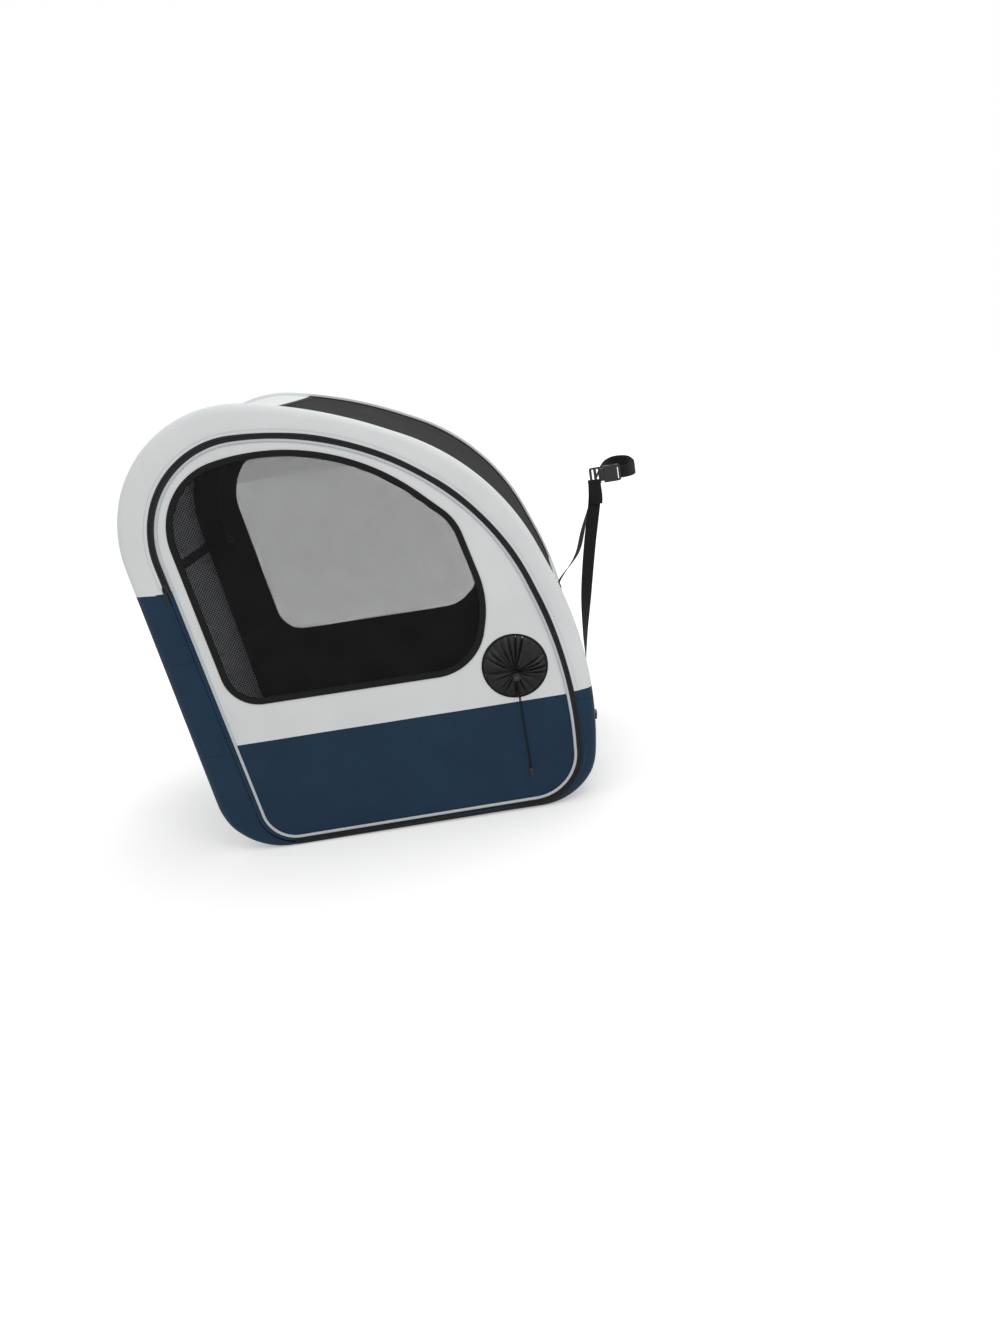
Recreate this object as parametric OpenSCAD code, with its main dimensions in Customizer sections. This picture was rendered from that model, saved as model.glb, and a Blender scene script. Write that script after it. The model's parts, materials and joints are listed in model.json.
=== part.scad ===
// Soft-sided pet carrier for the rear seat of a car.
// X runs from the back wall to the front wall, Y from the near side to the far side, Z up.
// The origin is the middle of the flat base.

/* [Body] */
// Width across the two side faces
body_w = 570; // [480:1:690]
// Height from the base to the top of the roof
body_h = 870; // [720:1:1050]
// Reach of the back wall behind the middle of the base
back_reach = 425; // [350:1:515]
// Reach of the front wall ahead of the middle of the base
front_reach = 407; // [340:1:495]
// Thickness of the padded fabric walls
wall_t = 4; // [3:0.1:6]
// How far each side panel wraps round onto the roof, walls and base
rim_wrap = 16; // [12:1:30]
// Height at which the back of the side panels changes from dark to light fabric
back_split = 553; // [450:1:600]
// Height at which the front of the side panels changes from dark to light fabric
front_split = 235; // [150:1:300]
// Distance from the back end to the rear edge of the roof panel
roof_start = 317; // [280:1:360]
// Height at which the roof panel ends on the front wall
roof_end = 400; // [330:1:450]
// Width of the binding round the roof panel
roof_binding_w = 12; // [8:1:20]

/* [Doors] */
// Thickness of a door panel
door_t = 3.5; // [2.5:0.1:5]
// Gap between a door and the side panel round it
door_gap = 1; // [0.6:0.1:2]
// Width of one half of the zip
zip_w = 6; // [4:0.5:8]
// Thickness of the zip tape and its coil
zip_t = 2.8; // [2:0.1:3.4]
// Height of the closed zip slider
slider_z = 560; // [500:1:600]
// Travel of the slider along the straight start of the zip
slider_travel = 40; // [20:1:60]
// Height at which a door changes from dark to light fabric
door_split = 230; // [150:1:280]
// Width of the binding round a window
binding_w = 12; // [8:1:18]
// Thickness of the window mesh
mesh_t = 1.2; // [0.8:0.1:2]
// Diameter of the piping cord
piping_d = 5; // [3:0.5:7]
// Distance from the door's edge to the piping on the zipped sides
piping_in = 9.5; // [9:0.5:14]
// Distance from the door's edge to the piping on the hinged side
piping_in_hinge = 13; // [10:0.5:18]

/* [Hand hole] */
// Distance of the hand hole from the front end
hand_hole_in = 142; // [135:1:170]
// Height of the middle of the hand hole
hand_hole_z = 303; // [290:1:330]
// Diameter of the gathered sleeve
sleeve_d = 125; // [110:1:130]
// Diameter of the hole that the sleeve closes
hand_hole_d = 100; // [80:1:105]
// Diameter of the cord lock
lock_d = 15; // [13:0.5:18]
// Length of the cord lock
lock_l = 18; // [16:0.5:22]
// Diameter of the plunger in the cord lock
plunger_d = 9.6; // [8:0.1:10]
// Travel of the plunger
plunger_travel = 3.5; // [2:0.1:4]
// Diameter of one strand of the draw cord
cord_d = 2; // [1.5:0.1:2.2]

/* [Frame] */
// Diameter of the spring steel wire of the side hoops
wire_d = 6; // [4:0.5:8]
// Diameter of the cross rods
rod_d = 8; // [6:0.5:10]
// Outer diameter of the connectors between hoops and rods
tee_d = 13; // [12:0.5:18]
// Length of a connector's sleeve on the hoop
tee_l = 22; // [16:1:26]
// Length of a connector's socket
socket_l = 28; // [20:1:40]
// Thickness of the base board
board_t = 4; // [3:0.5:8]
// Thickness of the floor mat
mat_t = 18; // [10:1:30]

/* [Seat strap] */
// Width of the webbing
strap_w = 25; // [20:1:26]
// Thickness of the webbing
strap_t = 1.6; // [1.2:0.1:2.2]
// Length of the buckle housing
housing_l = 34; // [30:1:40]
// Width of the buckle
buckle_w = 33; // [32:1:38]
// Thickness of the buckle
buckle_t = 11; // [10:0.5:13]

/* [Hidden] */
$fn = 48;
big = 3000;
seat_gap = 0.3;
slider_gap = 0.4;
tee_room = 1.5;
hoop_in = wall_t + tee_room + tee_d / 2;
facet_dev = 0.2;
hoop_depth = rim_wrap;
half_w = body_w / 2;

// ---- Rounded outlines in the XZ plane: lists of [x, z, radius], anticlockwise ----

function back(d) = d - back_reach;
function front(d) = front_reach - d;
function top(d) = body_h - d;

function at(v, i) = v[(i + len(v)) % len(v)];
function xy(p) = [p[0], p[1]];
function unit(a) = a / norm(a);
function to_prev(v, i) = unit(xy(at(v, i - 1)) - xy(at(v, i)));
function to_next(v, i) = unit(xy(at(v, i + 1)) - xy(at(v, i)));
function half_angle(v, i) = acos(to_prev(v, i) * to_next(v, i)) / 2;
function tangent(v, i) = at(v, i)[2] / tan(half_angle(v, i));
function edge(v, i) = norm(xy(at(v, i + 1)) - xy(at(v, i)));

// Radii cut down where two corners would need more than the edge between them
function limited(v) = [for (i = [0:len(v) - 1]) [v[i][0], v[i][1], v[i][2] * min(1,
    edge(v, i - 1) / (tangent(v, i - 1) + tangent(v, i)),
    edge(v, i) / (tangent(v, i) + tangent(v, i + 1)))]];

function centre(v, i) = xy(at(v, i))
    + unit(to_prev(v, i) + to_next(v, i)) * at(v, i)[2] / sin(half_angle(v, i));
function first_angle(v, i) = atan2(to_prev(v, i)[0], -to_prev(v, i)[1]);
function sweep(v, i) = 180 - 2 * half_angle(v, i);
function on_corner(v, i, share) = let (a = first_angle(v, i) + sweep(v, i) * share)
    centre(v, i) + at(v, i)[2] * [cos(a), sin(a)];
// Steps round a corner, so that no chord strays from the arc by more than facet_dev
function steps(v, i) = max(2, ceil(sweep(v, i) / acos(1 - facet_dev / max(at(v, i)[2], 2)) / 2));
function outline(v) =
    [for (i = [0:len(v) - 1]) for (k = [0:steps(v, i)]) on_corner(v, i, k / steps(v, i))];
function outline_angles(v) = [for (i = [0:len(v) - 1]) for (k = [0:steps(v, i)])
    first_angle(v, i) + sweep(v, i) * k / steps(v, i)];

// The same outline with each edge moved in by its own distance, and radii shortened by one
function cross2(a, b) = a[0] * b[1] - a[1] * b[0];
function inward(v, i) = [-to_next(v, i)[1], to_next(v, i)[0]];
function moved_corner(v, d, i) = let (
    n = len(v), a = inward(v, i - 1), b = inward(v, i), p = xy(at(v, i)),
    da = a * p + d[(i - 1 + n) % n], db = b * p + d[i])
    [(da * b[1] - db * a[1]) / cross2(a, b), (a[0] * db - b[0] * da) / cross2(a, b)];
function inset_edges(v, d, dr) = [for (i = [0:len(v) - 1])
    concat(moved_corner(v, d, i), [max(v[i][2] - dr, 1)])];
function inset(v, d) = inset_edges(v, [for (p = v) d], d);

// Edges in order: base, lower front, upper front, slope, roof, back
outer_line = limited([
    [back(74), 0, 126], [front(30), 0, 118], [front(-17), 299, 741],
    [front(131), top(178), 442], [back(409), top(32), 924], [back(-46), top(-65), 236]]);
opening_line = limited([
    [back(140), 10, 75], [front(46), 14, 102], [front(29), 285, 829],
    [front(129), top(281), 486], [back(446), top(58), 562], [back(22), top(51), 185]]);
window_line = limited([
    [back(132), 306, 73], [front(212), 303, 107], [front(171), 445, 202],
    [front(207), top(266), 104], [back(416), top(58), 420], [back(67), top(112), 135]]);
hoop_line = inset(outer_line, hoop_in);
piping_line = limited(inset_edges(opening_line,
    [piping_in, piping_in, piping_in, piping_in, piping_in, piping_in_hinge], piping_in));

// The hinge is the opening's straight back edge
hinge_low = xy(opening_line[0]);
hinge_dir = to_prev(opening_line, 0);
hinge_lean = atan2(-hinge_dir[0], hinge_dir[1]);
function on_hinge(z) = hinge_low + hinge_dir * (z - hinge_low[1]) / hinge_dir[1];
garage_w = door_gap / 2 + zip_w;
garage_l = 26;
zip_end_z = slider_z - garage_l / 2;
hinge_mask_x = hinge_low[0] + 55;

// ---- Flat pieces ----

module span(y0, y1) translate([0, y1, 0]) rotate([90, 0, 0]) linear_extrude(y1 - y0) children();
module plate(t0, t1) span(-half_w + t0, -half_w + t1) children();
module far() mirror([0, 1, 0]) children();
module shape(v) polygon(outline(v));
module ring(v_out, v_in) difference() {
    shape(v_out);
    shape(v_in);
}
module box2(x0, x1, z0, z1) translate([x0, z0]) square([x1 - x0, z1 - z0]);
module dark_rim_area() {
    box2(-big, 0, -big, back_split);
    box2(0, big, -big, front_split);
}
module hinge_area(z_top = zip_end_z) box2(-big, hinge_mask_x, -10, z_top);
module garage() translate(on_hinge(slider_z)) rotate(hinge_lean)
    translate([-big / 10, -garage_l / 2])
        square([big / 10 + garage_w, garage_l + slider_travel]);
module below_garage() translate(on_hinge(slider_z)) rotate(hinge_lean)
    translate([-big / 2, -garage_l / 2 - big]) square(big);

// ---- Walls ----

module wall_piece(t = wall_t) span(-half_w + rim_wrap, half_w - rim_wrap) intersection() {
    ring(outer_line, inset(outer_line, t));
    children();
}
base_top = 42;
roof_rear_x = back(roof_start);
corner_x = back(95);

module base_panel() color("#22344b") wall_piece() box2(-big, big, -1, base_top);
module back_panel_lower() color("#22344b") wall_piece() box2(-big, 0, base_top, back_split);
module back_panel_upper() color("#d9dcdd") wall_piece() box2(-big, corner_x, back_split, big);
module roof_rear_panel() color("#d9dcdd") wall_piece() box2(corner_x, roof_rear_x, back_split, big);
module front_panel_upper() color("#d9dcdd") wall_piece() box2(0, big, front_split, roof_end);
module front_panel_lower() color("#22344b") wall_piece() box2(0, big, base_top, front_split);

module roof_area(m = 0) {
    box2(roof_rear_x + m, 0, body_h / 2, big);
    box2(0, big, roof_end + m, big);
}
module roof_mesh() color("#1c1c1e")
    span(-half_w + rim_wrap + roof_binding_w, half_w - rim_wrap - roof_binding_w) intersection() {
        ring(inset(outer_line, 1), inset(outer_line, 1 + mesh_t));
        roof_area(roof_binding_w);
    }
module roof_binding() color("#141415") difference() {
    wall_piece(wall_t) roof_area();
    span(-half_w + rim_wrap + roof_binding_w, half_w - rim_wrap - roof_binding_w)
        intersection() {
            difference() {
                shape(inset(outer_line, -big / 100));
                shape(inset(outer_line, 2 * wall_t));
            }
            roof_area(roof_binding_w);
        }
}

module near_rim(dark) {
    module part2() if (dark) intersection() {
        children();
        dark_rim_area();
    } else difference() {
        children();
        dark_rim_area();
    }
    plate(0, wall_t) part2() union() {
        ring(outer_line, inset(opening_line, -door_gap / 2 - zip_w));
        if (dark) intersection() {
            ring(inset(opening_line, -door_gap / 2 - zip_w - 1), inset(opening_line, -door_gap / 2));
            hinge_area();
        }
    }
    plate(wall_t, rim_wrap) part2() ring(outer_line, inset(outer_line, wall_t));
}
module near_rim_upper() color("#d9dcdd") near_rim(false);
module near_rim_lower() color("#22344b") near_rim(true);
module far_rim_upper() color("#d9dcdd") far() near_rim(false);
module far_rim_lower() color("#22344b") far() near_rim(true);

// ---- Frame ----

// Closed ring of round section along an outline
module pipe_loop(v, d, sides = 8) {
    p = outline(v);
    a = outline_angles(v);
    n = len(p);
    points = [for (i = [0:n - 1]) for (k = [0:sides - 1]) let (r = d / 2 * cos(360 * k / sides))
        [p[i][0] + r * cos(a[i]), d / 2 * sin(360 * k / sides), p[i][1] + r * sin(a[i])]];
    faces = [for (i = [0:n - 1]) for (k = [0:sides - 1]) let (
        q = i * sides + k, s = i * sides + (k + 1) % sides, m = n * sides)
        each [[q, (q + sides) % m, (s + sides) % m], [q, (s + sides) % m, s]]];
    polyhedron(points, faces, convexity = 6);
}
// Corner of the hoop and place along it, for each cross rod
rod_stations = [[0, 0.65], [1, 0.35], [3, 0.15], [4, 0.75], [5, 0.72]];
rod_seat = wire_d / 2 + 3;
wire_clear = 0.8;

module near_hoop() color("#8b8f94") translate([0, -half_w + hoop_depth, 0])
    pipe_loop(hoop_line, wire_d);
module far_hoop() color("#8b8f94") far() translate([0, -half_w + hoop_depth, 0])
    pipe_loop(hoop_line, wire_d);
module at_station(s) {
    p = on_corner(hoop_line, s[0], s[1]);
    a = first_angle(hoop_line, s[0]) + sweep(hoop_line, s[0]) * s[1] + 90;
    translate([p[0], -half_w + hoop_depth, p[1]]) rotate([0, -a, 0]) children();
}
module cross_rods() color("#3a3c40") for (s = rod_stations) at_station(s)
    translate([0, rod_seat, 0]) rotate([-90, 0, 0])
        cylinder(d = rod_d, h = body_w - 2 * (hoop_depth + rod_seat));
module tee() difference() {
    union() {
        rotate([0, 90, 0]) cylinder(d = tee_d, h = tee_l, center = true);
        rotate([-90, 0, 0]) cylinder(d = tee_d, h = socket_l);
    }
    rotate([0, 90, 0]) cylinder(d = wire_d + 2 * wire_clear, h = tee_l + 2, center = true);
    translate([0, rod_seat - seat_gap, 0]) rotate([-90, 0, 0])
        cylinder(d = rod_d + 2 * seat_gap, h = socket_l);
}
module rod_connectors() color("#18181a") for (s = rod_stations) {
    at_station(s) tee();
    far() at_station(s) tee();
}
mat_back = back(160);
mat_front = front(104);
board_in = rim_wrap + tee_d / 2 + socket_l - 20;
module rounded_plate(x0, x1, y, z0, h, r) translate([0, 0, z0]) linear_extrude(h) {
    box2(x0 + r, x1 - r, -y, y);
    box2(x0, x1, r - y, y - r);
    for (x = [x0 + r, x1 - r]) for (s = [-1, 1]) translate([x, s * (y - r)]) circle(r);
}
module base_board() color("#2b2d31")
    rounded_plate(back(185), front(130), half_w - board_in, wall_t + seat_gap, board_t, 20);
module floor_mat() color("#6f757c") rounded_plate(mat_back, mat_front,
    half_w - board_in, wall_t + board_t + 2 * seat_gap, mat_t, 30);

// ---- Doors ----

door_face = 0.5;
module near_zip_outer_piece() color("#161617") plate(door_face, door_face + zip_t) difference() {
    ring(inset(opening_line, -door_gap / 2 - zip_w), inset(opening_line, -door_gap / 2));
    hinge_area();
}
module near_zip_inner_piece() color("#161617") plate(door_face, door_face + zip_t) difference() {
    ring(inset(opening_line, door_gap / 2), inset(opening_line, door_gap / 2 + zip_w));
    hinge_area(slider_z);
    garage();
}
module door_area() difference() {
    union() {
        shape(inset(opening_line, door_gap / 2 + zip_w));
        intersection() {
            shape(inset(opening_line, door_gap / 2));
            hinge_area(slider_z);
        }
    }
    garage();
    shape(window_line);
}
module dark_door_area() {
    box2(-big, big, -big, door_split);
    difference() {
        intersection() {
            hinge_area(big);
            below_garage();
        }
        shape(inset(piping_line, piping_d / 2));
    }
}
module near_door_upper_piece(hole) color("#d9dcdd") difference() {
    plate(door_face, door_face + door_t) difference() {
        door_area();
        dark_door_area();
    }
    if (hole) translate([front(hand_hole_in), 0, hand_hole_z]) rotate([90, 0, 0])
        cylinder(d = hand_hole_d, h = body_w);
}
module near_door_lower_piece() color("#22344b") plate(door_face, door_face + door_t)
    intersection() {
        door_area();
        dark_door_area();
    }
module near_window_mesh_piece() color("#1c1c1e") plate(door_face + 1, door_face + 1 + mesh_t)
    shape(inset(window_line, binding_w));
module near_window_binding_piece() color("#141415") plate(0, door_face + door_t + 0.5)
    ring(window_line, inset(window_line, binding_w));
module near_piping_piece() color("#c3c7ca")
    translate([0, -half_w + door_face - piping_d / 2 - 0.1, 0]) pipe_loop(piping_line, piping_d);

module near_zip_outer() near_zip_outer_piece();
module near_zip_inner() near_zip_inner_piece();
module near_door_upper() near_door_upper_piece(true);
module near_door_lower() near_door_lower_piece();
module near_window_mesh() near_window_mesh_piece();
module near_window_binding() near_window_binding_piece();
module near_piping() near_piping_piece();
module far_zip_outer() far() near_zip_outer_piece();
module far_zip_inner() far() near_zip_inner_piece();
module far_door_upper() far() near_door_upper_piece(false);
module far_door_lower() far() near_door_lower_piece();
module far_window_mesh() far() near_window_mesh_piece();
module far_window_binding() far() near_window_binding_piece();
module far_piping() far() near_piping_piece();

// ---- Zip sliders: x across the zip, y into the side face, z along it ----

slider_w = 2 * zip_w - 2;
slider_l = 17;
slider_t = 1.8;
lug_x = -4;
lug_w = 1.8;
lug_out = 2.5;
module at_slider() {
    p = on_hinge(slider_z);
    translate([p[0], -half_w, p[1]]) rotate([0, -hinge_lean, 0]) children();
}
module slider_plate() linear_extrude(slider_t) {
    translate([-slider_w / 2, -slider_l / 2]) square([slider_w, slider_l - 4]);
    intersection() {
        translate([0, slider_l / 2 - slider_w / 2 - 1]) circle(slider_w / 2 + 1);
        translate([-slider_w / 2, 0]) square([slider_w, slider_l]);
    }
}
slider_out = door_face - slider_gap - slider_t;
module near_slider_piece() color("#1f1f21") at_slider() {
    translate([0, slider_out + slider_t, 0]) rotate([90, 0, 0]) slider_plate();
    translate([0, door_face + zip_t + slider_gap + slider_t, 0]) rotate([90, 0, 0]) slider_plate();
    translate([-0.3, slider_out + 0.5, -slider_l / 2 + 2])
        cube([0.6, zip_t + 2 * slider_gap + slider_t, slider_l - 6]);
    for (z = [-5, 1.6]) translate([lug_x - lug_w / 2, slider_out - lug_out - 0.5, z])
        cube([lug_w, lug_out + 1, 1.6]);
    translate([lug_x - lug_w / 2, slider_out - lug_out - 1.4, -5]) cube([lug_w, 1.4, 8.2]);
}
pull_eye = 2.4;
pull_eye_l = 5.8;
pull_w = 5;
pull_l = 30;
module near_pull_piece() color("#1f1f21") at_slider() translate([lug_x, slider_out - 1.3, -0.4]) {
    difference() {
        rotate([90, 0, 0]) translate([0, 0, -0.6]) linear_extrude(1.2) {
            translate([0, 1.4 - pull_w / 2]) circle(pull_w / 2);
            translate([-pull_w / 2, -pull_l]) square([pull_w, pull_l + 1.4 - pull_w / 2]);
            translate([0, -pull_l]) circle(pull_w / 2);
        }
        translate([-pull_eye / 2, -2, -pull_eye_l]) cube([pull_eye, 4, pull_eye_l]);
    }
}
module near_slider() near_slider_piece();
module near_pull() near_pull_piece();
module far_slider() far() near_slider_piece();
module far_pull() far() near_pull_piece();

// ---- Hand hole: gathered sleeve, cord lock and draw cord ----

module at_hand_hole(out = 0) translate([front(hand_hole_in), -half_w - out, hand_hole_z])
    rotate([90, 0, 0]) children();
sleeve_t = 8;
module hand_hole_sleeve() color("#1a1a1d") at_hand_hole(-door_face + 0.2)
    rotate_extrude($fn = 96) polygon([[0, 0], [sleeve_d / 2 - 1, 0], [sleeve_d / 2, 1.2],
        [sleeve_d / 2 - 1.5, 2.6], [sleeve_d / 2 - 12, sleeve_t - 1.5],
        [sleeve_d / 2 - 28, sleeve_t], [14, sleeve_t - 1], [9, sleeve_t - 2.5], [0, sleeve_t - 3]]);
lock_drop = 17;
lock_out = sleeve_t - door_face + 0.2 + seat_gap;
lock_floor = 2;
plunger_gap = 0.3;
cord_hole_d = 4.6;
cord_hole_at = 12.7;
spring_l = 6;
module at_lock() translate([front(hand_hole_in), -half_w - lock_out, hand_hole_z - lock_drop])
    rotate([90, 0, 0]) children();
module cord_lock() color("#1b1b1d") at_lock() difference() {
    union() {
        translate([0, 0, 1]) cylinder(d = lock_d, h = lock_l - 2);
        cylinder(d1 = lock_d - 2, d2 = lock_d, h = 1);
        translate([0, 0, lock_l - 1]) cylinder(d1 = lock_d, d2 = lock_d - 2, h = 1);
    }
    translate([0, 0, lock_floor]) cylinder(d = plunger_d + 2 * plunger_gap, h = lock_l);
    translate([0, 0, cord_hole_at]) rotate([90, 0, 0])
        cylinder(d = cord_hole_d, h = 2 * lock_d, center = true);
}
plunger_low = lock_floor + 0.2 + spring_l;
module cord_lock_button() color("#2c2c2f") at_lock() difference() {
    union() {
        translate([0, 0, plunger_low]) cylinder(d = plunger_d, h = lock_l + 3.7 - plunger_low);
        translate([0, 0, lock_l + 3.7]) cylinder(d1 = plunger_d, d2 = plunger_d - 1.6, h = 0.8);
    }
    for (z = [cord_hole_at, cord_hole_at + plunger_travel]) translate([0, 0, z])
        rotate([90, 0, 0]) cylinder(d = cord_hole_d, h = 2 * lock_d, center = true);
    translate([-cord_hole_d / 2, -lock_d, cord_hole_at])
        cube([cord_hole_d, 2 * lock_d, plunger_travel]);
}
// Tube of one diameter swept through a list of points, with flat ends
function along(p, i) = unit(p[min(i + 1, len(p) - 1)] - p[max(i - 1, 0)]);
function side_of(t) = unit(cross(t, abs(t[2]) < 0.9 ? [0, 0, 1] : [0, 1, 0]));
module tube(points, d, sides = 8) {
    n = len(points);
    rings = [for (i = [0:n - 1]) let (t = along(points, i), u = side_of(t), v = cross(t, u))
        for (k = [0:sides - 1]) points[i] + d / 2 * (cos(360 * k / sides) * u + sin(360 * k / sides) * v)];
    walls = [for (i = [0:n - 2]) for (k = [0:sides - 1]) let (a = i * sides + k,
        b = i * sides + (k + 1) % sides) each [[a, b, b + sides], [a, b + sides, a + sides]]];
    low = [for (k = [sides - 1:-1:0]) k];
    high = [for (k = [0:sides - 1]) (n - 1) * sides + k];
    polyhedron(concat(rings), concat(walls, [low, high]), convexity = 4);
}
spring_d = 7;
spring_wire = 0.7;
module cord_lock_spring() color("#b8bcc0") at_lock() tube([for (a = [0:20:1080])
    [spring_d / 2 * cos(a), spring_d / 2 * sin(a),
        lock_floor + 0.1 + spring_wire / 2 + (spring_l - spring_wire - 0.1) * a / 1080]],
    spring_wire, 6);

// The two strands of the draw cord: x offset, distance out from the side face and height
cord_route = [[0, 20.7, 278], [0, 20.7, 270], [0, 20.7, 262], [0, 20.7, 252], [0, 20.6, 240],
    [0.3, 20.4, 226], [0.5, 20.2, 212], [0.4, 20, 198], [0, 20, 184], [-0.4, 20, 170],
    [-0.5, 20, 156], [-0.2, 20, 142], [0, 20, 128], [0, 20, 114], [0, 20, 102], [0, 20, 96]];
strand_gap = 1.15;
cord_end_d = 9;
cord_end_l = 15;
function strand(s) = [for (p = cord_route)
    [front(hand_hole_in) + s * strand_gap + s * abs(p[0]), -half_w - p[1], p[2]]];
module draw_cord() color("#141415") {
    tube(strand(-1), cord_d);
    tube(strand(1), cord_d);
}
module cord_end() color("#1b1b1d") translate([front(hand_hole_in), -half_w - 20, 96 - cord_end_l])
    union() {
        cylinder(d1 = cord_end_d - 2, d2 = cord_end_d, h = cord_end_l - 4);
        translate([0, 0, cord_end_l - 4]) cylinder(d1 = cord_end_d, d2 = cord_end_d - 3, h = 4);
    }

// ---- Seat strap ----

// Flat webbing through a list of [point, direction of its width]
module ribbon(s, w = strap_w, t = strap_t) {
    n = len(s);
    p = [for (i = s) i[0]];
    pts = [for (i = [0:n - 1]) let (a = along(p, i), u = unit(s[i][1] - (s[i][1] * a) * a),
        v = cross(a, u)) each [for (c = [[1, 1], [-1, 1], [-1, -1], [1, -1]])
            p[i] + c[0] * w / 2 * u + c[1] * t / 2 * v]];
    walls = [for (i = [0:n - 2]) for (k = [0:3]) let (a = 4 * i + k, b = 4 * i + (k + 1) % 4)
        each [[a, b, b + 4], [a, b + 4, a + 4]]];
    polyhedron(pts, concat(walls, [[3, 2, 1, 0], [for (k = [0:3]) 4 * (n - 1) + k]]), convexity = 6);
}
near_y = -85;
far_y = 75;
buckle_x = front(-97);
buckle_z = 617;
ladder_l = 22;
ladder_t = 5;
patch_t = 2.4;
upper_at = 0.68;
lower_at = 0.16;
// Point off the front wall, at a share of its big curve
function off_front(share, y, out) = let (p = on_corner(outer_line, 2, share),
    a = first_angle(outer_line, 2) + sweep(outer_line, 2) * share)
    [p[0] + out * cos(a), y, p[1] + out * sin(a)];
strap_off = patch_t + 2 * seat_gap + strap_t / 2;
// Webbing from the upper anchor over the seat and round the headrest posts to the buckle
upper_route = [
    [off_front(upper_at, far_y, strap_off), [0, 1, 0]],
    [off_front(upper_at + 0.04, far_y, strap_off + 3), [0, 1, 0]],
    [[front(-30), far_y, 432], [0.5, 1, 0]], [[front(-52), far_y, 486], [0.5, 1, 0]],
    [[front(-76), far_y, 548], [0, 1, 0]], [[front(-92), far_y, 586], [0, 1, 0]],
    [[front(-102), far_y, 603], [0, 1, 0.1]], [[front(-114), far_y, 614], [0, 1, 0.5]],
    [[front(-128), far_y, 619], [0, 0.6, 1]], [[front(-144), far_y - 3, 621], [0, 0, 1]],
    [[front(-158), far_y - 16, 621], [0, 0, 1]], [[front(-166), far_y - 36, 620], [0, 0, 1]],
    [[front(-168), -5, 619], [0, 0, 1]], [[front(-166), near_y + 36, 618], [0, 0, 1]],
    [[front(-158), near_y + 16, 617], [0, 0, 1]], [[front(-146), near_y + 3, 617], [0, 0, 1]],
    [[buckle_x + housing_l + seat_gap, near_y, buckle_z], [0, 0, 1]]];
behind_ladder = ladder_t / 2 + seat_gap + strap_t / 2;
// Webbing from the ladder lock down to the lower anchor
lower_route = [
    [[buckle_x - 21, near_y + behind_ladder, buckle_z - 8], [1, 0, 0]],
    [[buckle_x - 22, near_y + behind_ladder, buckle_z - 26], [1, 0, 0]],
    [[buckle_x - 27, near_y + 2, 560], [1, 0, 0]], [[front(-50), near_y, 480], [1, 0.3, 0]],
    [[front(-30), near_y, 385], [1, 1, 0]], [[front(-16), near_y, 300], [0.2, 1, 0]],
    [[front(-9), near_y, 240], [0, 1, 0]],
    [off_front(lower_at + 0.06, near_y, strap_off + 2), [0, 1, 0]],
    [off_front(lower_at, near_y, strap_off), [0, 1, 0]]];
module strap_upper() color("#161617") ribbon(upper_route);
module strap_lower() color("#161617") ribbon(lower_route);
// Loose end of the webbing, hanging from the front of the ladder lock
module strap_tail() color("#161617") ribbon([
    [[buckle_x - 21, near_y - behind_ladder, buckle_z - 8], [1, 0, 0]],
    [[buckle_x - 21, near_y - behind_ladder - 0.6, buckle_z - 24], [1, 0, 0]],
    [[buckle_x - 21, near_y - behind_ladder - 1.5, buckle_z - 40], [1, 0, 0]],
    [[buckle_x - 23, near_y - behind_ladder - 1, buckle_z - 56], [1, 0, 0]]]);
patch_w = 38;
patch_h = 24;
module off_wall(share) {
    p = off_front(share, 0, seat_gap);
    translate(p) rotate([0, -first_angle(outer_line, 2) - sweep(outer_line, 2) * share, 0])
        children();
}
module strap_anchors() color("#161617") {
    off_wall(upper_at) translate([0, far_y - patch_w / 2, -patch_h / 2])
        cube([patch_t, patch_w, patch_h]);
    off_wall(lower_at) translate([0, near_y - patch_w / 2, -patch_h / 2])
        cube([patch_t, patch_w, patch_h]);
}
loop_l = 27;
loop_w = 30;
loop_h = 14;
module lower_loop() color("#1b1b1d") off_wall(0.02) translate([0, near_y, 0]) difference() {
    rounded_block(0, loop_l, loop_w, loop_h, 8);
    translate([5, 0, 0]) rounded_block(0, loop_l - 10, loop_w - 9, loop_h + 2, 5);
}

// ---- Buckle: x along the strap, y across it, z through it ----

mouth_w = 25;
mouth_t = 7;
prong_y = 8;
prong_t = 5.6;
module at_buckle() translate([buckle_x, near_y, buckle_z]) rotate([90, 0, 0]) children();
module rounded_block(x0, x1, w, t, r) translate([0, 0, -t / 2]) linear_extrude(t) {
    box2(x0, x1 - r, -w / 2, w / 2);
    box2(x0, x1, r - w / 2, w / 2 - r);
    for (s = [-1, 1]) translate([x1 - r, s * (w / 2 - r)]) circle(r);
}
module buckle_housing() color("#1d1d1f") at_buckle() difference() {
    rounded_block(0, housing_l, buckle_w, buckle_t, 5);
    translate([-1, -mouth_w / 2, -mouth_t / 2]) cube([27, mouth_w, mouth_t]);
    for (s = [-1, 1]) translate([12, s > 0 ? mouth_w / 2 - 1 : -buckle_w, -mouth_t / 2])
        cube([14, buckle_w - mouth_w / 2 + 1, mouth_t]);
    translate([28, -strap_w / 2 - 0.5, -buckle_t]) cube([2.6, strap_w + 1, 2 * buckle_t]);
}
module buckle_frame() color("#1d1d1f") at_buckle() {
    translate([-7, -mouth_w / 2, -4.5]) cube([6.5, mouth_w, 9]);
    translate([-1, -2, -2.5]) cube([20, 4, 5]);
    difference() {
        mirror([1, 0, 0]) rounded_block(6.9, 6.9 + ladder_l, buckle_w, ladder_t, 4);
        for (x = [-14.5, -24]) translate([x, -strap_w / 2 - 0.5, -5]) cube([4, strap_w + 1, 10]);
    }
}
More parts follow.
